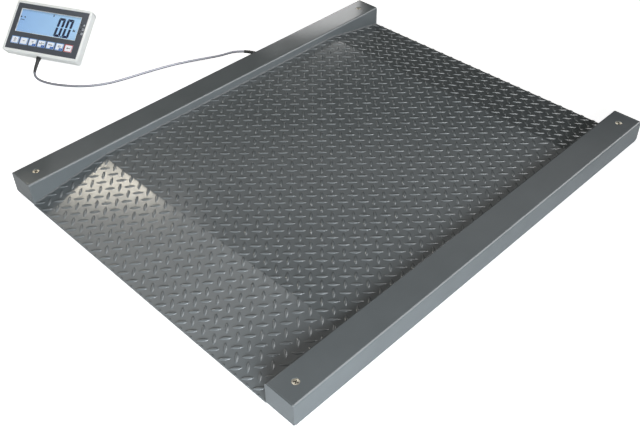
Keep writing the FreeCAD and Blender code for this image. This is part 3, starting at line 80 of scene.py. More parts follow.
# The terminal's own frame: x along its width, y up its panel, z out of the panel, in millimetres.
TERMINAL = (Matrix.Translation(Vector((-202.8, 961.5, 94.7)) * MM)
            @ Matrix.Rotation(math.radians(296.1), 4, "Z")
            @ Matrix.Rotation(math.radians(37.3), 4, "X")
            @ Matrix.Scale(MM, 4))
# The window's middle and size, the ledge that it lies on, and the height of the display behind it.
WINDOW = (-3, 19.5, 200, 73)
WINDOW_LEDGE = 1.5
LCD_FACE = -3.0
DIGITS_X, DIGITS_Y = (35.2, 62.4), 15.7
KEY_FIRST_X, KEY_Y, KEY_PITCH = -92, -43, 29.5
KEY_WIDTH, KEY_HEIGHT, KEY_CORNER, KEY_FACE = 25, 22, 1.5, 0.8
KEY_BORDER, TABBED_KEYS = 1.8, (2, 3, 4, 5)
LAMP_X, LAMP_SIGN_X, LAMP_Y, LAMP_PITCH, LAMP_RADIUS = 103, 112, 20, 13.5, 1.65
GLAND_X, GLAND_Z, GLAND_ROOT, GLAND_LENGTH = -6, -12, -80, 25
GLAND_NUT, NUT_RADIUS, RELIEF_RADII = 7.5, 7.5, (5.8, 4.1)

# The cable, in millimetres: its sleeve's arc at the rail, then the route along the floor that the
# part's source has too.
CABLE_RADIUS = 3.5
HOSE_TURN, HOSE_GROOVE = 5, 0.5
SLEEVE_ROOT = Vector((198, 498, 30))
SLEEVE_BEND, SLEEVE_TURN = 72, math.radians(40)
SLEEVE_RADII = (6, 4.6)
SLEEVE_TAIL = 24
FIRST_RUN, LAST_RUN = 28, 17
ROUTE = [
    (136, 595, 16), (105, 628, 6.5), (62, 656, 3.5), (5, 679, 3.5), (-75, 701, 3.5),
    (-142, 716, 3.5), (-195, 738, 3.5), (-237, 773, 3.5), (-268, 813, 3.5), (-288, 850, 3.5),
    (-298, 882, 3.8), (-298, 908, 6.5),
]

# Each lamp, in metres: its place, the point it looks at, its size, its colour, and in degrees its
# beam's spread and its roll in its own plane. The stage's properties hold its power.
LAMPS = {
    "key": ((-1.75, -2.07, 0.42), (-0.1, -0.1, 0.03), (1.6, 0.7), "#f0f8ff", 180, 0),
    "front": ((-1.6, -2.3, 1.15), (0, 0, 0.03), (1.2, 0.8), "#f3f9ff", 180, 0),
    "overhead": ((-0.15, 1.42, 1.76), (-0.45, 0.1, 0.03), (1.4, 1.0), "#fffdfa", 180, 0),
    "glare": ((-0.13, 1.84, 1.5), (-0.45, 0.33, 0.03), (0.5, 0.13), "#fff6e2", 180, -36),
    "corner": ((0.92, 1.05, 0.4), (0.35, 0.42, 0.05), (0.42, 0.2), "#ffffff", 60, 0),
    "terminal": ((0.15, 0.24, 0.985), (-0.2, 0.96, 0.09), (0.5, 0.5), "#ffffff", 40, 0),
}

# The cards that show in gloss, in metres: each card's middle, its two edges and its colour. The
# edge card draws the rails' long edges. The others stand behind the far corner, darker low down.
EDGE_CARD = ((1.6, -0.95, 1.85), (3.2, 0, 0), (0, 2.0, 1.6), "#ffffff")
CORNER_CARDS = {
    "low": ((1.84, 1.84, 0.95), (-4.9, 4.9, 0), (0, 0, 1.9), "#2b2c2c"),
    "high": ((1.84, 1.84, 2.45), (-4.9, 4.9, 0), (0, 0, 1.1), "#c8c8c8"),
    "top": ((1.84, 1.84, 4.5), (-4.9, 4.9, 0), (0, 0, 3.0), "#a0a0a0"),
}
# What the camera sees mirrored in the terminal's panel lies this way, and a dark card stands there.
PANEL_MIRROR = Vector((-0.473, 0.392, 0.788))
PANEL_CARD_AWAY, PANEL_CARD_WIDTH, PANEL_CARD_HEIGHT = 0.35, 0.38, 0.34

FLOOR_SIZE, FLOOR_DROP = 50, 0.2 * MM
# The floor's lift to white grows with the distance in metres, as the lamps leave it darker there.
FLOOR_LIFT = {"From Min": 1.3, "From Max": 3.0, "To Min": 0.87}
GLOSS_LIFT = 0.15

# The photograph's camera, solved from the bridge's edges: its place, and its right, up and back.
CAMERA_PLACE = (-1.1876, -1.1566, 1.2820)
CAMERA_AXES = ((0.70562, -0.70843, -0.01513), (0.47151, 0.45349, 0.75632),
               (-0.52894, -0.54081, 0.65403))
CAMERA_LENS, CAMERA_SENSOR = 47.62, 36.0


def linear(code):
    """An sRGB hex colour as linear RGBA."""
    parts = [int(code[i:i + 2], 16) / 255 for i in (1, 3, 5)]
    return [p / 12.92 if p <= 0.04045 else ((p + 0.055) / 1.055) ** 2.4 for p in parts] + [1.0]


def length_prop(name, description, millimetres):
    return FloatProperty(name=name, description=description, default=millimetres * MM,
                         unit="LENGTH", precision=5)


def colour_prop(name, description, code):
    return FloatVectorProperty(name=name, description=description, default=linear(code),
                               subtype="COLOR", size=4, min=0, max=1)


def power_prop(name, lamp, watts):
    return FloatProperty(name=name, description="Power of the " + lamp, default=watts, unit="POWER")


# What a user would change

class ScaleTread(PropertyGroup):
    bar_length: length_prop("Bar length", "Length of a raised bar", 28)
    bar_width: length_prop("Bar width", "Width of a raised bar at its middle", 8.5)
    bar_rise: length_prop("Bar rise", "Height of a raised bar over the plate", 1.9)
    pitch_along: length_prop("Pitch along", "From bar to bar in the driving direction", 33.67)
    pitch_across: length_prop("Pitch across", "From bar to bar across the platform", 33.5)
    start_along: length_prop("Start along", "Place of one bar in the driving direction", -389.5)
    start_across: length_prop("Start across", "Place of that bar across the platform", -5.5)
    weld_leg: length_prop("Weld leg", "Leg of the weld between deck and rail", 3)
    weld_ripple: length_prop("Weld ripple", "Distance between the weld's ripples", 5.5)
    seam_width: length_prop("Seam width", "Width of the weld seam round an end cap", 2.2)
    seam_rise: length_prop("Seam rise", "Height of that seam over the rail", 0.3)


class ScaleColours(PropertyGroup):
    paint: colour_prop("Paint", "Powder coat on the steel", "#737879")
    housing: colour_prop("Housing", "Moulded terminal housing", "#f4f5f2")
    panel: colour_prop("Panel", "Film on the terminal's front", "#4c5057")
    display_left: colour_prop("Display, left", "Backlight at the display's left end", "#93b9e6")
    display_right: colour_prop("Display, right", "Backlight at the display's right end", "#add2f1")
    segments: colour_prop("Segments", "Display segments", "#0f1740")
    key_face: colour_prop("Key face", "Moulded key", "#f8faff")
    key_border: colour_prop("Key border", "Printed border of a key", "#70a4e2")
    last_border: colour_prop("Last key border", "Printed border of the last key", "#d4484c")
    key_tab: colour_prop("Key tab", "Printed tab of the middle keys", "#1f66bc")


class ScaleStage(PropertyGroup):
    key_power: power_prop("Key light", "low light by the near corner", 42)
    front_power: power_prop("Front light", "light behind the camera", 48)
    overhead_power: power_prop("Overhead light", "light over the terminal's side", 6.4)
    glare_power: power_prop("Glare light", "light that glints on the near ramp", 3.9)
    corner_power: power_prop("Corner light", "light behind the far corner", 0.125)
    terminal_power: power_prop("Terminal light", "light over the terminal", 0.35)
    edge_level: FloatProperty(name="Edge card", default=5.5,
                              description="Brightness of the card that draws the rails' edges")
    ambient: FloatProperty(name="Ambient", default=0.07,
                           description="Strength of the studio's even light")


# Shapes

def rounded(width, height, radius, middle=(0, 0), steps=5):
    """A rectangle's outline with round corners, anticlockwise."""
    points = []
    for corner, (sx, sy) in enumerate(((1, 1), (-1, 1), (-1, -1), (1, -1))):
        cx = middle[0] + sx * (width / 2 - radius)
        cy = middle[1] + sy * (height / 2 - radius)
        for step in range(steps + 1):
            angle = math.pi / 2 * (corner + step / steps)
            points.append((cx + radius * math.cos(angle), cy + radius * math.sin(angle)))
    return points


def bar(width, height, x, y, radius=0.3):
    """A small bar's outline, its corners just broken."""
    return rounded(width, height, radius, (x, y), 2)


def arc(radius, start, end, count):
    """Points round an arc, between two angles in degrees."""
    angles = [math.radians(start + (end - start) * i / count) for i in range(count + 1)]
    return [(radius * math.cos(a), radius * math.sin(a)) for a in angles]


def circle(radius, middle=(0, 0), count=24):
    return moved(arc(radius, 0, 360, count)[:-1], middle)


def stroke(start, end, width):
    """The outline of a straight line drawn with a broad pen."""
    start, end = Vector(start), Vector(end)
    side = (end - start).orthogonal().normalized() * width / 2
    return [tuple(p) for p in (start + side, start - side, end - side, end + side)]


def moved(mark, place):
    """A mark in another place: an outline, or a pair of outlines of which the inner is a hole."""
    if isinstance(mark, tuple):
        return tuple(moved(outline, place) for outline in mark)
    return [(x + place[0], y + place[1]) for x, y in mark]


def lofted(rings, closed=False):
    """A skin over rings of as many points, with its ends filled unless it closes on itself."""
    count = len(rings[0])
    points = [tuple(point) for ring in rings for point in ring]
    starts = list(range(0, len(points), count))
    faces = []
    for here, after in zip(starts, starts[1:] + starts[:1] if closed else starts[1:]):
        faces += [[here + k, here + (k + 1) % count, after + (k + 1) % count, after + k]
                  for k in range(count)]
    if not closed:
        faces += [list(range(count))[::-1], list(range(starts[-1], len(points)))]
    return points, faces


def cut_out(marks, low, high):
    """Marks as flat shapes between two heights."""
    shapes = []
    for mark in marks:
        holed = isinstance(mark, tuple)
        outlines = mark + mark[::-1] if holed else (mark, mark)
        levels = (low, low, high, high) if holed else (low, high)
        rings = [[(x, y, z) for x, y in outline] for outline, z in zip(outlines, levels)]
        shapes.append(lofted(rings, closed=holed))
    return merged(shapes)


def merged(shapes):
    """Several shapes as one."""
    points, faces = [], []
    for some_points, some_faces in shapes:
        faces += [[i + len(points) for i in face] for face in some_faces]
        points += some_points
    return points, faces


def swept(line, radius_at, sides):
    """A round rod along a line; its radius depends on the distance along it and the angle round."""
    rings = []
    direction = (line[1] - line[0]).normalized()
    side = direction.orthogonal().normalized()
    travelled = 0.0
    for i, point in enumerate(line):
        ahead = (line[min(i + 1, len(line) - 1)] - line[max(i - 1, 0)]).normalized()
        side = (direction.rotation_difference(ahead) @ side).normalized()
        direction, up = ahead, ahead.cross(side)
        if i:
            travelled += (point - line[i - 1]).length
        angles = [2 * math.pi * k / sides for k in range(sides)]
        rings.append([point + (side * math.cos(a) + up * math.sin(a)) * radius_at(travelled, a)
                      for a in angles])
    return lofted(rings)


def put(name, data):
    """A new object in the scene."""
    item = bpy.data.objects.new(name, data)
    bpy.context.scene.collection.objects.link(item)
    return item


def new_piece(name, shape, body="platform", place=None, sharp_degrees=40):
    """An object of a shape that rides on a body, smooth but for its sharp edges."""
    points, faces = shape
    mesh = bpy.data.meshes.new(name)
    mesh.from_pydata(points, [], faces)
    mesh.validate()
    if place is not None:
        mesh.transform(place)
    work = bmesh.new()
    work.from_mesh(mesh)
    bmesh.ops.recalc_face_normals(work, faces=work.faces)
    work.to_mesh(mesh)
    work.free()
    mesh.polygons.foreach_set("use_smooth", [True] * len(mesh.polygons))
    mesh.set_sharp_from_angle(angle=math.radians(sharp_degrees))
    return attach(put(name, mesh), body)


# Materials

def add_node(tree, kind, inputs, **settings):
    """One node with its settings. An input is a value, or is linked from an output that is given
    or from the first output of a node that is given."""
    node = tree.nodes.new("ShaderNode" + kind)
    for name, value in settings.items():
        setattr(node, name, value)
    for key, value in inputs.items():
        if isinstance(value, bpy.types.Node):
            value = value.outputs[0]
        if isinstance(value, bpy.types.NodeSocket):
            tree.links.new(value, node.inputs[key])
        else:
            node.inputs[key].default_value = value
    return node


def cleared(owner):
    """The emptied node tree of a material or a world."""
    owner.use_nodes = True
    owner.node_tree.nodes.clear()
    return owner.node_tree


def per(millimetres):
    """A texture's scale for features of this size."""
    return 1 / (millimetres * MM)


def tint(colour):
    """A hex colour, or the user's colour of that name, as linear RGBA."""
    return linear(colour) if "#" in colour else getattr(bpy.context.scene.scale_colours, colour)


def new_material(name, **values):
    """A material with a Principled shader; underscores in a name stand for the socket's spaces."""
    material = bpy.data.materials.new(name)
    tree = cleared(material)
    shader = add_node(tree, "BsdfPrincipled",
                      {key.replace("_", " "): value for key, value in values.items()})
    add_node(tree, "OutputMaterial", {"Surface": shader})
    place = add_node(tree, "TexCoord", {}).outputs["Object"]
    return material, tree, shader, place


def grain(tree, shader, place, size, height):
    """Fine relief, its feature size and height in millimetres. A real grain finer than about
    0.3 mm wouldn't show even close by, so it is drawn that coarse or coarser."""
    noise = add_node(tree, "TexNoise", {"Vector": place, "Scale": per(size), "Detail": 3.0})
    bump = add_node(tree, "Bump", {"Height": noise, "Distance": height * MM})
    tree.links.new(bump.outputs[0], shader.inputs["Normal"])


def mottle(tree, shader, place, colour, patch, tones, gloss=None):
    """Vary a colour's lightness, and perhaps the roughness, over patches of so many millimetres."""
    noise = add_node(tree, "TexNoise", {"Vector": place, "Scale": per(patch), "Detail": 4.0})
    tone = add_node(tree, "HueSaturation", {"Color": tint(colour)})
    tree.links.new(tone.outputs[0], shader.inputs["Base Color"])
    varied = [(tone.inputs["Value"], tones)]
    if gloss:
        varied.append((shader.inputs["Roughness"], gloss))
    # Nearly all of the noise lies between 0.3 and 0.7.
    for socket, (low, high) in varied:
        level = add_node(tree, "MapRange", {
            "Value": noise, "From Min": 0.3, "From Max": 0.7, "To Min": low, "To Max": high})
        tree.links.new(level.outputs[0], socket)


def clouded(name, colour, patch, tones, relief=None, gloss=None, **values):
    """A material of mottle, from its colour, patches and tones, and of grain, from its relief."""
    material, tree, shader, place = new_material(name, **values)
    mottle(tree, shader, place, colour, patch, tones, gloss)
    if relief:
        grain(tree, shader, place, *relief)
    return material


def powder_coated_steel(name):
    """Folded sheet steel, powder coated: an even satin, clouded, with orange peel 1.5 mm wide."""
    return clouded(name, "paint", 90, (0.95, 1.05), (1.5, 0.02), gloss=(0.13, 0.18),
                   Roughness=0.2, IOR=1.5)


def coated_weld_bead(name):
    """The same coat over a weld bead, darkened as painted shade in the crease by the rail: the
    bead's ripples and spatter spread its gloss.
    """
    # The tones darken the bead to about half the paint's: painted shade along the joint.
    return clouded(name, "paint", 8, (0.45, 0.65), (2.0, 0.15), Roughness=0.6, IOR=1.5)


def rolled_tread_steel(name):
    """Rolled tread plate under the same coat: its tone and gloss change a little between bars."""
    return clouded(name, "paint", 25, (0.96, 1.1), (1.2, 0.015), gloss=(0.12, 0.19),
                   Roughness=0.2, IOR=1.5)


def nickel_plated_steel(name):
    """Turned steel, nickel plated: a warm metal whose turning rings pull a light into sectors."""
    material, tree, shader, place = new_material(
        name, Metallic=1.0, Roughness=0.36, Anisotropic=0.9)
    # The slots' floors, 1.2 mm below the face, are darkened: painted shade in the slots.
    height = add_node(tree, "SeparateXYZ", {0: place}).outputs["Z"]
    slot_shade = add_node(tree, "MapRange", {
        "Value": height, "From Min": PLUG_FACE - 1.0 * MM, "From Max": PLUG_FACE - 0.1 * MM,
        "To Min": 0.12})
    tone = add_node(tree, "HueSaturation", {"Color": tint("#a8a294"), "Value": slot_shade})
    tree.links.new(tone.outputs[0], shader.inputs["Base Color"])
    # The rings run round each plug's own centre; the four centres are mirror images of one.
    even = add_node(tree, "VectorMath", {0: place}, operation="ABSOLUTE")
    inward = add_node(tree, "VectorMath", {0: even, 1: (*PLUG_PLACE, 0)}, operation="SUBTRACT")
    side = add_node(tree, "VectorMath", {0: place}, operation="SIGN")
    radius = add_node(tree, "VectorMath", {0: inward, 1: side}, operation="MULTIPLY")
    along = add_node(tree, "VectorMath", {0: radius, 1: (0, 0, 1)}, operation="CROSS_PRODUCT")
    tree.links.new(along.outputs[0], shader.inputs["Tangent"])
    return material


def zinc_plated_steel(name):
    """Zinc-plated steel: a greyish metal, cloudy from the bath."""
    return clouded(name, "#a9adb0", 6, (0.85, 1.08), gloss=(0.28, 0.45), Metallic=1.0,
                   Roughness=0.35)


def machined_aluminium(name):
    """Milled and anodised aluminium alloy: a dull silver with the cutter's marks."""
    material, tree, shader, place = new_material(name, Metallic=1.0, Roughness=0.34)
    mottle(tree, shader, place, "#b9bcbf", 12, (0.93, 1.04))
    # The texture makes 20 radians of wave per unit, so the marks come out 2 pi times 0.8 mm apart,
    # coarser than real ones, which wouldn't show.
    cuts = add_node(tree, "TexWave", {"Vector": place, "Scale": per(0.8) / 20, "Distortion": 1.5})
    bump = add_node(tree, "Bump", {
        "Height": cuts.outputs["Fac"], "Strength": 0.6, "Distance": 0.01 * MM})
    tree.links.new(bump.outputs[0], shader.inputs["Normal"])
    return material


def moulded_rubber(name):
    """Moulded black rubber: matt, with a fine grain and dust in its pores."""
    return clouded(name, "#232425", 4, (0.8, 1.3), (0.5, 0.03), Roughness=0.82, IOR=1.5)


def moulded_white_abs(name):
    """Injection-moulded white ABS with a spark-eroded surface: fine-grained, slightly glossy."""
    return clouded(name, "housing", 60, (0.985, 1.01), (0.7, 0.02), Roughness=0.42, IOR=1.54)


def moulded_grey_abs(name):
    """Injection-moulded grey ABS, smooth with a slight waviness."""
    return clouded(name, "#9a9c9b", 20, (0.96, 1.04), (0.8, 0.02), Roughness=0.45, IOR=1.54)


def moulded_black_nylon(name):
    """Injection-moulded black polyamide: semi-matt with flow clouding."""
    return clouded(name, "#0f1011", 3, (0.8, 1.3), (0.4, 0.015), Roughness=0.5, IOR=1.53)


def epoxy_circuit_board(name):
    """Glass-fibre board under green solder resist, with its weave just showing."""
    return clouded(name, "#1f5a38", 1.5, (0.85, 1.15), (0.5, 0.01), Roughness=0.35, IOR=1.5)


def extruded_pvc(name):
    """Extruded grey PVC jacket: smooth, faintly clouded."""
    return clouded(name, "#77797a", 8, (0.92, 1.06), (0.8, 0.01), Roughness=0.45, IOR=1.53)


def wound_steel_hose(name):
    """A protective hose wound from galvanised strip: dull silver turns, clouded by the zinc."""
    return clouded(name, "#8b8d95", 5, (0.85, 1.1), gloss=(0.3, 0.44), Metallic=1.0,
                   Roughness=0.36)


def cut_silicone(name):
    """Die-cut grey silicone sheet: matt and even."""
    return clouded(name, "#8b8e90", 5, (0.95, 1.05), (0.6, 0.01), Roughness=0.7, IOR=1.41)


def printed_polyester_film(name):
    """Polyester film printed dark grey from behind, with a fine lacquered grain on its face."""
    return clouded(name, "panel", 40, (0.98, 1.02), (0.35, 0.006), Roughness=0.4, IOR=1.57)


def cast_acrylic(name):
    """Cast acrylic pane: clear, polished, with a trace of waviness."""
    material, tree, shader, place = new_material(
        name, Base_Color=(1, 1, 1, 1), Roughness=0.02, IOR=1.49, Transmission_Weight=1.0)
    grain(tree, shader, place, 25, 0.01)
    return material


def backlit_display(name):
    """Transflective glass over a light guide: a cool glow, brighter to the right, with a painted
    shadow on top.
    """
    material, tree, shader, place = new_material(
        name, Base_Color=linear("#20303c"), Roughness=0.3, Emission_Strength=1.0)
    # The glow follows the terminal's own x and y.
    local = add_node(tree, "Mapping", {"Vector": place, "Location": -TERMINAL.translation},
                     vector_type="POINT")
    turn = TERMINAL.to_3x3().normalized().inverted().to_euler("XYZ")
    turned = add_node(tree, "VectorRotate", {"Vector": local, "Rotation": turn},
                      rotation_type="EULER_XYZ")
    axes = add_node(tree, "SeparateXYZ", {"Vector": turned}).outputs
    middle_x, middle_y, width, height = (value * MM for value in WINDOW)
    top = middle_y + height / 2
    across = add_node(tree, "MapRange", {
        "Value": axes["X"], "From Min": middle_x - width / 2, "From Max": middle_x + width / 2})
    glow = add_node(tree, "Mix", {0: across, 6: tint("display_left"), 7: tint("display_right")},
                    data_type="RGBA")
    # Painted shadow: the glow dims towards the window's top edge, where the ledge would shade it.
    shade = add_node(tree, "MapRange", {
        "Value": axes["Y"], "From Min": top - 9 * MM, "From Max": top - 3 * MM,
        "To Min": 1.0, "To Max": 0.72})
    cloud = add_node(tree, "TexNoise", {"Vector": place, "Scale": per(45)})
    patch = add_node(tree, "MapRange", {
        "Value": cloud, "From Min": 0.3, "From Max": 0.7, "To Min": 0.97, "To Max": 1.02})
    level = add_node(tree, "Math", {0: shade, 1: patch}, operation="MULTIPLY")
    tone = add_node(tree, "HueSaturation", {"Color": glow.outputs[2], "Value": level})
    tree.links.new(tone.outputs[0], shader.inputs["Emission Color"])
    return material


def display_segments(name):
    """Liquid crystal segments, switched on: an even dark blue behind the pane."""
    return clouded(name, "segments", 20, (0.95, 1.08), Roughness=0.6)


def moulded_key(name):
    """Moulded white key cap, satin."""
    return clouded(name, "key_face", 10, (0.985, 1.01), (0.6, 0.008), Roughness=0.4, IOR=1.54)


def screen_ink(name, colour):
    """Screen-printed ink: opaque and satin, with the mesh's slight unevenness."""
    return clouded(name, colour, 3, (0.94, 1.05), (0.3, 0.004), Roughness=0.5, IOR=1.5)


def key_border_ink(name):
    return screen_ink(name, "key_border")


def last_border_ink(name):
    return screen_ink(name, "last_border")


def key_tab_ink(name):
    return screen_ink(name, "key_tab")


def grey_ink(name):
    return screen_ink(name, "#33363b")


def light_ink(name):
    return screen_ink(name, "#c9cdd1")


def unlit_lamp(name):
    """A smoked lens over a lamp that is off."""
    return clouded(name, "#2b2b2c", 2, (0.9, 1.1), Roughness=0.2, IOR=1.5)


def shrink_film(name):
    """PVC shrink film over the battery's cells: black, glossy and wrinkled."""
    return clouded(name, "#26282c", 10, (0.9, 1.15), (6, 0.3), Roughness=0.28, IOR=1.53)


def dress(piece, finish):
    """Give a piece its finish, made once."""
    material = bpy.data.materials.get(finish.__name__) or finish(finish.__name__)
    if not piece.material_slots:
        piece.data.materials.append(material)
    for place in piece.material_slots:
        place.material = material


def dress_nodes(finish, slot, *names):
    for name in names:
        dress(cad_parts[name], finish)


def lay_marks(name, marks, low, high, finish, body="platform"):
    """Lay flat marks on the terminal, between two heights over its panel."""
    dress(new_piece(name, cut_out(marks, low, high), body, TERMINAL), finish)


def all_four(kind):
    """The names of the like nodes at the four corners."""
    return [f"{kind}_{i}" for i in (1, 2, 3, 4)]


# The bridge

def plate_point(along, across, rise):
    """A point over the folded tread plate, from its place on the flat sheet and its height."""
    past = abs(along) - FOLD_START
    turn = min(max(past / FOLD_RADIUS, 0.0), RAMP_ANGLE)
    down = max(past - FOLD_RADIUS * RAMP_ANGLE, 0.0)
    x = min(abs(along), FOLD_START) + FOLD_RADIUS * math.sin(turn) + down * math.cos(turn)
    z = DECK_TOP - FOLD_RADIUS * (1 - math.cos(turn)) - down * math.sin(turn)
    x, z = x + rise * math.sin(turn), z + rise * math.cos(turn)
    return Vector((math.copysign(x, along), across, z))


def tread_bar(middle, heading, tread):
    """One raised bar: a lens in plan with a flattened top, tapering to its ends, its rim just
    under the plate."""
    along = Vector((math.cos(heading), math.sin(heading)))
    aside = Vector((-along.y, along.x))
    sunk = 0.3 * MM
    across = (-1, -0.84, -0.56, 0, 0.56, 0.84, 1)
    rows, wide = 8, len(across)

    def at(u, v):
        half_width = tread.bar_width / 2 * (1 - u * u) ** 0.8
        crown = (1 - u * u) ** 0.4 * (1 - abs(v) ** 3) ** 0.9
        spot = middle + along * (u * tread.bar_length / 2) + aside * (v * half_width)
        return plate_point(spot.x, spot.y, (tread.bar_rise + sunk) * crown - sunk)

    points = [at(-1, 0)]
    for row in range(1, rows):
        points += [at(-1 + 2 * row / rows, v) for v in across]
    points.append(at(1, 0))
    last = len(points) - 1
    faces = [[0, 1 + k, 2 + k] for k in range(wide - 1)]
    faces += [[last, last - 1 - k, last - 2 - k] for k in range(wide - 1)]
    for start in range(1, last - wide, wide):
        faces += [[start + k, start + wide + k, start + wide + k + 1, start + k + 1]
                  for k in range(wide - 1)]
    rim = [*range(1, last, wide), last, *range(last - 1, 0, -wide), 0]
    return points, faces + [rim]


def tread_bars():
    """Bars in two directions on a square lattice, cut off at the rails and the lips."""
    tread = bpy.context.scene.scale_tread
    margin = tread.bar_length / 2
    # More steps than the sheet holds, from any start; what lies off the sheet is passed over.
    steps = range(-60, 60)
    bars = []
    for heading, shift in ((-math.pi / 4, 0.0), (math.pi / 4, 0.5)):
        for i in steps:
            for j in steps:
                along = tread.start_along + (i + shift) * tread.pitch_along
                across = tread.start_across + (j + shift) * tread.pitch_across
                if abs(along) < SHEET_HALF + margin and abs(across) < HALF_SPAN + margin:
                    bars.append(tread_bar(Vector((along, across)), heading, tread))
    piece = new_piece("tread_bars", merged(bars))
    for edge in ((0, HALF_SPAN - 0.1 * MM, 0), (0, 0.1 * MM - HALF_SPAN, 0),
                 (HALF_LENGTH, 0, 0), (-HALF_LENGTH, 0, 0)):
        trim(piece.data, Vector(edge))
    return piece


def trim(mesh, edge):
    """Cut off what lies beyond a point, square to its direction, and close the cuts."""
    work = bmesh.new()
    work.from_mesh(mesh)
    everything = work.verts[:] + work.edges[:] + work.faces[:]
    cut = bmesh.ops.bisect_plane(work, geom=everything, plane_co=edge,
                                 plane_no=edge.normalized(), clear_outer=True)
    edges = [item for item in cut["geom_cut"] if isinstance(item, bmesh.types.BMEdge)]
    bmesh.ops.holes_fill(work, edges=edges, sides=0)
    work.to_mesh(mesh)
    work.free()


def deck_weld(side):
    """The weld bead between the tread plate and a rail's inner web, rippled as it was laid."""
    tread = bpy.context.scene.scale_tread
    # The bead stands square to the ramps, so it stops a little before their ends.
    reach = SHEET_HALF - 1 * MM
    root = HALF_SPAN + 0.2 * MM
    steps = int(2 * reach / tread.weld_ripple * 5)
    rings = []
    for i in range(steps + 1):
        along = -reach + 2 * reach * i / steps
        ripple = math.sin(2 * math.pi * along / tread.weld_ripple)
        wander = math.sin(along * 41 + side) * math.sin(along * 97)
        leg = tread.weld_leg * (1 + 0.03 * ripple + 0.05 * wander)
        ring = [plate_point(along, side * root, -0.2 * MM)]
        for k in range(6):
            angle = math.pi / 2 * k / 5
            thick = leg * (1 - 0.22 * math.sin(2 * angle))
            away, rise = thick * math.cos(angle), thick * math.sin(angle)
            ring.append(plate_point(along, side * (root - away), rise - 0.1 * MM))
        rings.append(ring)
    return lofted(rings)


def cap_seam(side, end):
    """The weld seam round the joint between a rail and its end cap, ground flush on the outside."""
    tread = bpy.context.scene.scale_tread
    middle, half = (HALF_SPAN + RAIL_OUTSIDE) / 2, (RAIL_OUTSIDE - HALF_SPAN) / 2
    # Round the bend outside from a third of its turn, then the bend inside and down its web.
    outline = []
    for corner, first in ((0, 2), (1, 0)):
        cx, cz = (half - RAIL_BEND) * (1 - 2 * corner), RAIL_TOP - RAIL_BEND
        for k in range(first, 7):
            angle = math.pi / 2 * (corner + k / 6)
            outline.append((cx + RAIL_BEND * math.cos(angle), cz + RAIL_BEND * math.sin(angle)))
    outline.append((-half, RAIL_BOTTOM))
    rings = []
    for i, (across, z) in enumerate(outline):
        before, after = outline[max(i - 1, 0)], outline[min(i + 1, len(outline) - 1)]
        out = Vector((after[1] - before[1], before[0] - after[0])).normalized()
        ring = []
        for k in range(5):
            angle = math.pi * k / 4
            rise = tread.seam_rise * math.sin(angle) - 0.05 * MM
            ring.append((end * CAP_PLANE + tread.seam_width / 2 * math.cos(angle),
                         side * (middle + across + out.x * rise), z + out.y * rise))
        rings.append(ring)
    return lofted(rings)


class SCALE_OT_bridge(Operator):
    """Coat the deck, the rails and what is welded to them"""
    bl_idname = "floor_scale.bridge"
    bl_label = "Bridge"

    def execute(self, context):
        dress_nodes(powder_coated_steel, "painted_steel", "deck_plate", "left_rail", "right_rail",
                    "cross_members", "ramp_ribs", "plug_seats", *all_four("end_cap"))
        return {"FINISHED"}


class SCALE_OT_tread(Operator):
    """Raise the bars of the tread plate"""
    bl_idname = "floor_scale.tread"
    bl_label = "Tread bars"

    def execute(self, context):
        dress(tread_bars(), rolled_tread_steel)
        return {"FINISHED"}


class SCALE_OT_welds(Operator):
    """Lay the welds along the deck and round the end caps"""
    bl_idname = "floor_scale.welds"
    bl_label = "Welds"

    def execute(self, context):
        for name, side in (("left", 1), ("right", -1)):
            dress(new_piece(f"{name}_deck_weld", deck_weld(side), sharp_degrees=75),
                  coated_weld_bead)
            seams = merged([cap_seam(side, end) for end in (1, -1)])
            dress(new_piece(f"{name}_cap_seams", seams), powder_coated_steel)
        return {"FINISHED"}


class SCALE_OT_supports(Operator):
    """Finish the plugs, feet, load cells and what holds them"""
    bl_idname = "floor_scale.supports"
    bl_label = "Feet and load cells"

    def execute(self, context):
        dress_nodes(nickel_plated_steel, "nickel_plate", "access_plugs")
        dress_nodes(zinc_plated_steel, "plated_steel", "cell_bolts", "cell_spacers",
                    *all_four("foot_spindle"))
        dress_nodes(machined_aluminium, "cell_alloy", *all_four("load_cell"))
        dress_nodes(moulded_rubber, "foot_rubber", *all_four("foot_pad"))
        return {"FINISHED"}


class SCALE_OT_junction_box(Operator):
    """Finish the junction box and the cables inside the rails"""
    bl_idname = "floor_scale.junction_box"
    bl_label = "Junction box"

    def execute(self, context):
        dress_nodes(moulded_grey_abs, "grey_abs", "junction_box_base", "junction_box_lid")
        dress_nodes(moulded_black_nylon, "black_nylon", "junction_box_glands", "cable_clips",
                    "rail_gland")
        dress_nodes(epoxy_circuit_board, "circuit_board", "junction_board")
        dress_nodes(extruded_pvc, "cable_jacket", "inside_cables")
        return {"FINISHED"}


# The cable

def smooth_line(points):
    """The points of a smooth line that has these as its control points."""
    curve = bpy.data.curves.new("route", "CURVE")
    curve.dimensions = "3D"
    curve.resolution_u = 90
    spline = curve.splines.new("NURBS")
    spline.points.add(len(points) - 1)
    for knot, point in zip(spline.points, points):
        knot.co = (*point, 1.0)
    spline.order_u = 3
    spline.use_endpoint_u = True
    carrier = bpy.data.objects.new("route", curve)
    mesh = bpy.data.meshes.new_from_object(carrier)
    line = [vertex.co.copy() for vertex in mesh.vertices]
    bpy.data.objects.remove(carrier)
    bpy.data.meshes.remove(mesh)
    bpy.data.curves.remove(curve)
    return line


def sleeve_line(steps=40):
    """The protection sleeve's middle line, bent as it stands out of the rail."""
    line = []
    for i in range(steps + 1):
        angle = SLEEVE_TURN * i / steps
        bend = Vector((math.cos(angle) - 1, math.sin(angle), 0)) * SLEEVE_BEND
        line.append((SLEEVE_ROOT + bend) * MM)
    return line


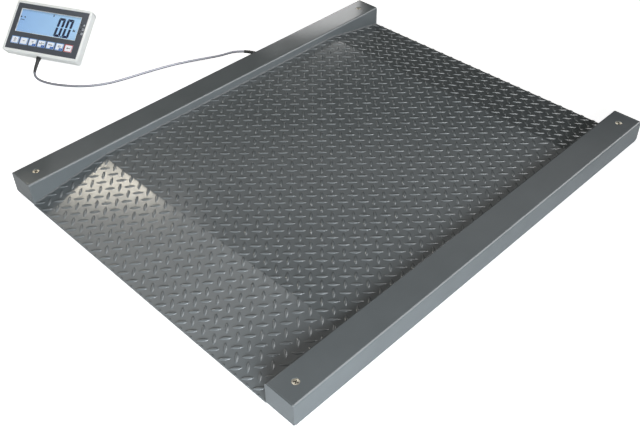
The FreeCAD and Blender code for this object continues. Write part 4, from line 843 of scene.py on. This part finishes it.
def cable_points():
    """The cable's route from its sleeve to the terminal, in metres."""
    end = sleeve_line()[-1]
    out = Vector((-math.sin(SLEEVE_TURN), math.cos(SLEEVE_TURN), 0))
    mouth = Vector((GLAND_X, GLAND_ROOT - GLAND_LENGTH, GLAND_Z))
    points = [end, end + out * FIRST_RUN * MM] + [Vector(point) * MM for point in ROUTE]
    return points + [TERMINAL @ (mouth - Vector((0, LAST_RUN, 0))), TERMINAL @ mouth]


def wave(distance, length):
    """From 0 to 1 and back over each length."""
    return 0.5 - 0.5 * math.cos(2 * math.pi * distance / length)


def wound_cable(line):
    """The cable in its hose of wound strip, with a groove between the turns."""
    def radius(distance, angle):
        turn = HOSE_TURN * MM
        groove = wave(distance - turn * angle / (2 * math.pi), turn) ** 4
        return (CABLE_RADIUS - HOSE_GROOVE * groove) * MM
    return swept(line, radius, 12)


def ribbed_sleeve(line, root, end, rib, depth):
    """A tapered sleeve along a line, with ribs round it that let it bend."""
    total = sum((b - a).length for a, b in zip(line, line[1:]))

    def radius(distance, angle):
        taper = root + (end - root) * distance / total
        near_end = min(distance, total - distance, rib * MM) / (rib * MM)
        return (taper - depth * near_end * wave(distance, rib * MM)) * MM
    return swept(line, radius, 24)


def strain_relief(line):
    """A hexagon nut on the housing and a tapered black sleeve that bends with the cable."""
    points, faces = cut_out([circle(NUT_RADIUS, count=6)], 0, GLAND_NUT)
    stand = (Matrix.Translation((GLAND_X, GLAND_ROOT, GLAND_Z))
             @ Matrix.Rotation(math.radians(90), 4, "X"))
    nut = [tuple(TERMINAL @ stand @ Vector(p)) for p in points]
    start, stop, steps = GLAND_ROOT - GLAND_NUT, GLAND_ROOT - GLAND_LENGTH, 24
    middle = [TERMINAL @ Vector((GLAND_X, start + (stop - start) * i / steps, GLAND_Z))
              for i in range(steps)]
    # Past the gland it follows the cable for a while.
    reach = 0.0
    for here, after in zip(line[::-1], line[-2::-1]):
        middle.append(here)
        reach += (after - here).length
        if reach > SLEEVE_TAIL * MM:
            break
    return merged([(nut, faces), ribbed_sleeve(middle, *RELIEF_RADII, rib=4, depth=0.5)])


class SCALE_OT_cable(Operator):
    """Lay the terminal's cable with its sleeves"""
    bl_idname = "floor_scale.cable"
    bl_label = "Cable"

    def execute(self, context):
        line = smooth_line(cable_points())
        cable = new_piece("cable", wound_cable(line), sharp_degrees=180)
        dress(cable, wound_steel_hose)
        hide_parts("terminal_cable")
        boot = ribbed_sleeve(sleeve_line(), *SLEEVE_RADII, rib=5, depth=0.9)
        sleeve = new_piece("cable_sleeve", boot)
        dress(sleeve, moulded_black_nylon)
        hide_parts("cable_boot")
        relief = new_piece("terminal_strain_relief", strain_relief(line))
        dress(relief, moulded_black_nylon)
        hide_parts("terminal_gland")
        return {"FINISHED"}


# The terminal

class SCALE_OT_housing(Operator):
    """Finish the terminal's shells, stand and what is inside"""
    bl_idname = "floor_scale.housing"
    bl_label = "Terminal housing"

    def execute(self, context):
        dress_nodes(moulded_white_abs, "white_abs", "terminal_front_shell", "terminal_rear_shell",
                    "stand_leg")
        dress_nodes(cut_silicone, "silicone", "terminal_gasket")
        dress_nodes(zinc_plated_steel, "plated_steel", "housing_screws", "stand_hinge_pin")
        dress_nodes(moulded_rubber, "foot_rubber", "terminal_rests")
        dress_nodes(shrink_film, "battery_black", "battery_pack")
        dress_nodes(epoxy_circuit_board, "circuit_board", "main_board", "keypad_board")
        return {"FINISHED"}


class SCALE_OT_front_panel(Operator):
    """Print the terminal's front panel and set its lamps"""
    bl_idname = "floor_scale.front_panel"
    bl_label = "Front panel"

    def execute(self, context):
        dress_nodes(printed_polyester_film, "panel_film", "terminal_panel")
        # From the top: a triangle, two bars and a ring, each beside its lamp.
        signs = ([[(-3.4, -2.9), (3.4, -2.9), (0, 3.2)]],
                 [rounded(6.8, 1.9, 0.4, (0, side * 2)) for side in (1, -1)],
                 [(circle(3.4), circle(1.7))])
        icons, lenses = [], []
        for step, sign in zip((1, 0, -1), signs):
            y = LAMP_Y + step * LAMP_PITCH
            icons += [moved(mark, (LAMP_SIGN_X, y)) for mark in sign]
            lenses.append(circle(LAMP_RADIUS, (LAMP_X, y)))
        lay_marks("lamp_icons", icons, 0, 0.06, light_ink)
        lay_marks("lamp_lenses", lenses, -0.9, 0.02, unlit_lamp)
        return {"FINISHED"}


def digit_zero(middle, width, height, pen, lean):
    """The six lit segments of a nought, mitred where they meet and leaning to the right."""
    gap, corner = 0.35, 1.6
    w, h = width / 2, height / 2
    top = [(-w + corner, h), (w - corner, h), (w - corner / 2, h - corner / 2),
           (w - pen + gap, h - pen), (-w + pen - gap, h - pen), (-w + corner / 2, h - corner / 2)]
    side = [(-w, h - corner), (-w + pen - gap, h - pen - gap), (-w + pen, h - pen - gap),
            (-w + pen, 2.2), (-w + pen - 1, 1.2), (-w + 1, 1.2), (-w, 2.2)]
    outlines = []
    for flip in (1, -1):
        outlines.append([(x, y * flip) for x, y in top])
        for mirror in (1, -1):
            outlines.append([(x * mirror, y * flip) for x, y in side])
    return [[(middle[0] + x + lean * y, middle[1] + y) for x, y in outline]
            for outline in outlines]


def status_marks():
    """Two arrow heads over a line at the left, a tick at the top and two blocks at the right."""
    arrow = [(-2.6, -3), (3.0, 0), (-2.6, 3)]
    return [moved(arrow, (-97, 30.5)), [(-x - 86.5, y + 30.5) for x, y in arrow],
            bar(13, 1.8, -91.5, 22), bar(3.0, 7, 5.5, 47.8),
            bar(3.2, 6.6, 81.2, 12.8), bar(3.2, 4.8, 85.3, 11.8)]


class SCALE_OT_display(Operator):
    """Light the display and switch on its segments"""
    bl_idname = "floor_scale.display"
    bl_label = "Display"

    def execute(self, context):
        dress_nodes(cast_acrylic, "clear_acrylic", "display_window")
        dress_nodes(moulded_black_nylon, "lcd_glass", "display_module")
        middle_x, middle_y, width, height = WINDOW
        play = 2 * WINDOW_LEDGE + 0.4
        face = rounded(width - play, height - play, 0.5, (middle_x, middle_y), 2)
        lay_marks("display_face", [face], LCD_FACE, LCD_FACE + 0.05, backlit_display)
        marks = []
        for x in DIGITS_X:
            marks += digit_zero((x, DIGITS_Y), width=21.8, height=58.6, pen=7.4, lean=0.074)
        marks.append(bar(3.8, 3.8, 47.0, -12.0, 0.4))
        lay_marks("display_segments", marks + status_marks(), LCD_FACE + 0.06, LCD_FACE + 0.12,
                  display_segments)
        return {"FINISHED"}


def power_sign():
    """A ring broken by an upright bar, over a short line."""
    ring = arc(3.2, 125, 415, 14)
    strokes = [moved(stroke(a, b, 1.1), (0, 1.6)) for a, b in zip(ring, ring[1:])]
    return strokes + [bar(1.2, 4.2, 0, 4.0), bar(8, 1.1, 0, -4.8)]


# From the left: power, one bar, two bars, a ring between arrow heads, a broad bar, a small sheet,
# and an arrow to the left.
KEY_SIGNS = [
    power_sign(),
    [bar(6.5, 1.3, 0, 0.5)],
    [bar(7, 1.1, 0, 2.2), bar(4.5, 1.1, 0, -0.2)],
    [(circle(2.8, (0, 1)), circle(1.6, (0, 1)))]
    + [[(side * 7, 3.2), (side * 7, -1.2), (side * 4, 1)] for side in (1, -1)],
    [bar(13, 2.2, 0, 1.2)],
    [(rounded(8, 5, 0.4, (0, 1.2)), rounded(6, 3, 0.2, (0, 1.2)))],
    [[(-6, 0), (-2.2, 2.8), (-2.2, -2.8)], bar(8.5, 1.6, 1.8, 0)],
]


class SCALE_OT_keys(Operator):
    """Print the keys' borders, tabs and signs"""
    bl_idname = "floor_scale.keys"
    bl_label = "Keys"

    def execute(self, context):
        border = (rounded(KEY_WIDTH, KEY_HEIGHT, KEY_CORNER),
                  rounded(KEY_WIDTH - 2 * KEY_BORDER, KEY_HEIGHT - 2 * KEY_BORDER, 0.6))
        # The tab fills a key's lower right corner.
        right, bottom = KEY_WIDTH / 2 - 0.4, 0.4 - KEY_HEIGHT / 2
        tab = [(0.6, bottom), (right, bottom), (right, bottom + 7), (1.6, bottom + 7),
               (0.6, bottom + 6)]
        # Each print: its name, its marks, its ink and how far it stands over the key.
        tabs = [("tab", [tab], key_tab_ink, 0.07),
                ("tab_sign", [bar(5.5, 1.1, 6.2, -7.4)], light_ink, 0.1)]
        for index, sign in enumerate(KEY_SIGNS):
            key = f"key_{index + 1}"
            dress_nodes(moulded_key, "key_white", key)
            last = index == len(KEY_SIGNS) - 1
            prints = [("border", [border], last_border_ink if last else key_border_ink, 0.05),
                      *(tabs if index in TABBED_KEYS else []), ("sign", sign, grey_ink, 0.05)]
            for name, marks, ink, height in prints:
                marks = [moved(mark, (KEY_FIRST_X + index * KEY_PITCH, KEY_Y)) for mark in marks]
                lay_marks(f"{key}_{name}", marks, KEY_FACE, KEY_FACE + height, ink,
                          key)
        return {"FINISHED"}


# The stage

def studio_floor():
    """A pale floor: white paint, lifted to the background's white where the background is seen."""
    material = bpy.data.materials.new("studio_floor")
    tree = cleared(material)
    paint = add_node(tree, "BsdfDiffuse", {"Color": linear("#e6e6e6")})
    path = add_node(tree, "LightPath", {}).outputs
    place = add_node(tree, "TexCoord", {}).outputs["Object"]
    away = add_node(tree, "VectorMath", {0: place}, operation="LENGTH").outputs["Value"]
    level = add_node(tree, "MapRange", {"Value": away, **FLOOR_LIFT})
    seen = add_node(tree, "Math", {0: path["Is Camera Ray"], 1: level}, operation="MULTIPLY")
    lift = add_node(tree, "Math", {0: path["Is Glossy Ray"], 1: GLOSS_LIFT, 2: seen},
                    operation="MULTIPLY_ADD")
    glow = add_node(tree, "Emission", {"Strength": lift})
    both = add_node(tree, "AddShader", {0: paint, 1: glow})
    # From below the floor is clear, so that the underside can be looked at.
    clear = add_node(tree, "BsdfTransparent", {})
    face = add_node(tree, "NewGeometry", {}).outputs["Backfacing"]
    sides = add_node(tree, "MixShader", {0: face, 1: both, 2: clear})
    add_node(tree, "OutputMaterial", {"Surface": sides})
    stage_sheet("studio_floor", (0, 0, -FLOOR_DROP), (FLOOR_SIZE, 0, 0), (0, FLOOR_SIZE, 0),
                material)


def studio_world(ambient):
    """Even light on the object, and white where a ray from the camera, a gloss or a pane ends."""
    world = bpy.context.scene.world or bpy.data.worlds.new("studio")
    bpy.context.scene.world = world
    tree = cleared(world)
    path = add_node(tree, "LightPath", {}).outputs
    some = add_node(tree, "Math", {0: path["Is Camera Ray"], 1: path["Is Glossy Ray"]},
                    operation="MAXIMUM")
    white = add_node(tree, "Math", {0: some, 1: path["Is Transmission Ray"]}, operation="MAXIMUM")
    level = add_node(tree, "MapRange", {"Value": white, "To Min": ambient})
    glow = add_node(tree, "Background", {"Color": (1, 1, 1, 1), "Strength": level})
    add_node(tree, "OutputWorld", {"Surface": glow})


def stage_sheet(name, middle, across, up, material):
    """A flat rectangle of the stage, from its middle and two of its edges."""
    middle, across, up = Vector(middle), Vector(across) / 2, Vector(up) / 2
    mesh = bpy.data.meshes.new(name)
    mesh.from_pydata([middle - across - up, middle + across - up, middle + across + up,
                      middle - across + up], [], [(0, 1, 2, 3)])
    mesh.materials.append(material)
    sheet = put(name, mesh)
    return sheet


def softbox(name, power, place, target, size, colour, spread, roll):
    """A soft lamp; a grid before it can narrow its beam."""
    lamp = bpy.data.lights.new(name, "AREA")
    lamp.shape = "RECTANGLE"
    lamp.size, lamp.size_y = size
    lamp.energy = power
    lamp.color = linear(colour)[:3]
    lamp.spread = math.radians(spread)
    box = put(name, lamp)
    box.location = place
    turn = (Vector(target) - Vector(place)).to_track_quat("-Z", "Y")
    box.rotation_euler = (turn @ Quaternion((0, 0, 1), math.radians(roll))).to_euler()
    box.visible_camera = False


def gloss_card(name, middle, across, up, colour, level=1.0):
    """A card that shows in glossy surfaces alone: it neither lights, shades nor shows itself."""
    material = bpy.data.materials.new(name)
    tree = cleared(material)
    tone = add_node(tree, "Emission", {"Color": linear(colour), "Strength": level})
    add_node(tree, "OutputMaterial", {"Surface": tone})
    card = stage_sheet(name, middle, across, up, material)
    card.visible_camera = card.visible_diffuse = card.visible_shadow = False


def photo_camera():
    """The camera where the photographer stood: over the near corner, looking at the far one."""
    lens = bpy.data.cameras.new("camera")
    lens.lens, lens.sensor_width = CAMERA_LENS, CAMERA_SENSOR
    lens.clip_start, lens.clip_end = 0.01, 100
    camera = put("camera", lens)
    turn = Matrix(CAMERA_AXES).transposed().to_4x4()
    camera.matrix_world = Matrix.Translation(CAMERA_PLACE) @ turn
    bpy.context.scene.camera = camera


class SCALE_OT_stage(Operator):
    """Set up the floor, the lamps, the cards and the camera"""
    bl_idname = "floor_scale.stage"
    bl_label = "Stage"

    def execute(self, context):
        stage = context.scene.scale_stage
        context.scene.view_settings.view_transform = "Standard"
        studio_floor()
        studio_world(stage.ambient)
        for name, lamp in LAMPS.items():
            softbox(f"{name}_light", getattr(stage, f"{name}_power"), *lamp)
        gloss_card("edge_card", *EDGE_CARD, stage.edge_level)
        for name, card in CORNER_CARDS.items():
            gloss_card(f"{name}_card", *card)
        across = PANEL_MIRROR.cross((0, 0, 1)).normalized() * PANEL_CARD_WIDTH
        up = PANEL_MIRROR.cross(across).normalized() * PANEL_CARD_HEIGHT
        gloss_card("terminal_card", TERMINAL.translation + PANEL_MIRROR * PANEL_CARD_AWAY,
                   across, up, "#2b2c2c")
        photo_camera()
        return {"FINISHED"}


class SCALE_PT_sidebar(Panel):
    bl_label = "Floor scale"
    bl_idname = "SCALE_PT_sidebar"
    bl_space_type = "VIEW_3D"
    bl_region_type = "UI"
    bl_category = "Floor scale"

    def draw(self, context):
        scene = context.scene
        groups = {"Tread and welds": scene.scale_tread, "Colours": scene.scale_colours,
                  "Stage": scene.scale_stage}
        for title, group in groups.items():
            box = self.layout.box()
            box.label(text=title)
            for name in group.__annotations__:
                box.prop(group, name)
        for step in STEPS:
            self.layout.operator(step.bl_idname)


STEPS = (SCALE_OT_cable, SCALE_OT_bridge, SCALE_OT_tread, SCALE_OT_welds, SCALE_OT_supports,
         SCALE_OT_junction_box, SCALE_OT_housing, SCALE_OT_front_panel, SCALE_OT_display,
         SCALE_OT_keys, SCALE_OT_stage)
GROUPS = {"scale_tread": ScaleTread, "scale_colours": ScaleColours, "scale_stage": ScaleStage}


def register():
    for item in (*GROUPS.values(), *STEPS, SCALE_PT_sidebar):
        bpy.utils.register_class(item)
    for name, group in GROUPS.items():
        setattr(bpy.types.Scene, name, PointerProperty(type=group))


def unregister():
    for name in GROUPS:
        delattr(bpy.types.Scene, name)
    for item in (SCALE_PT_sidebar, *reversed(STEPS), *reversed(list(GROUPS.values()))):
        bpy.utils.unregister_class(item)


def main():
    register()
    for step in STEPS:
        getattr(bpy.ops.floor_scale, step.bl_idname.split(".")[1])()


if __name__ == "__main__":
    main()
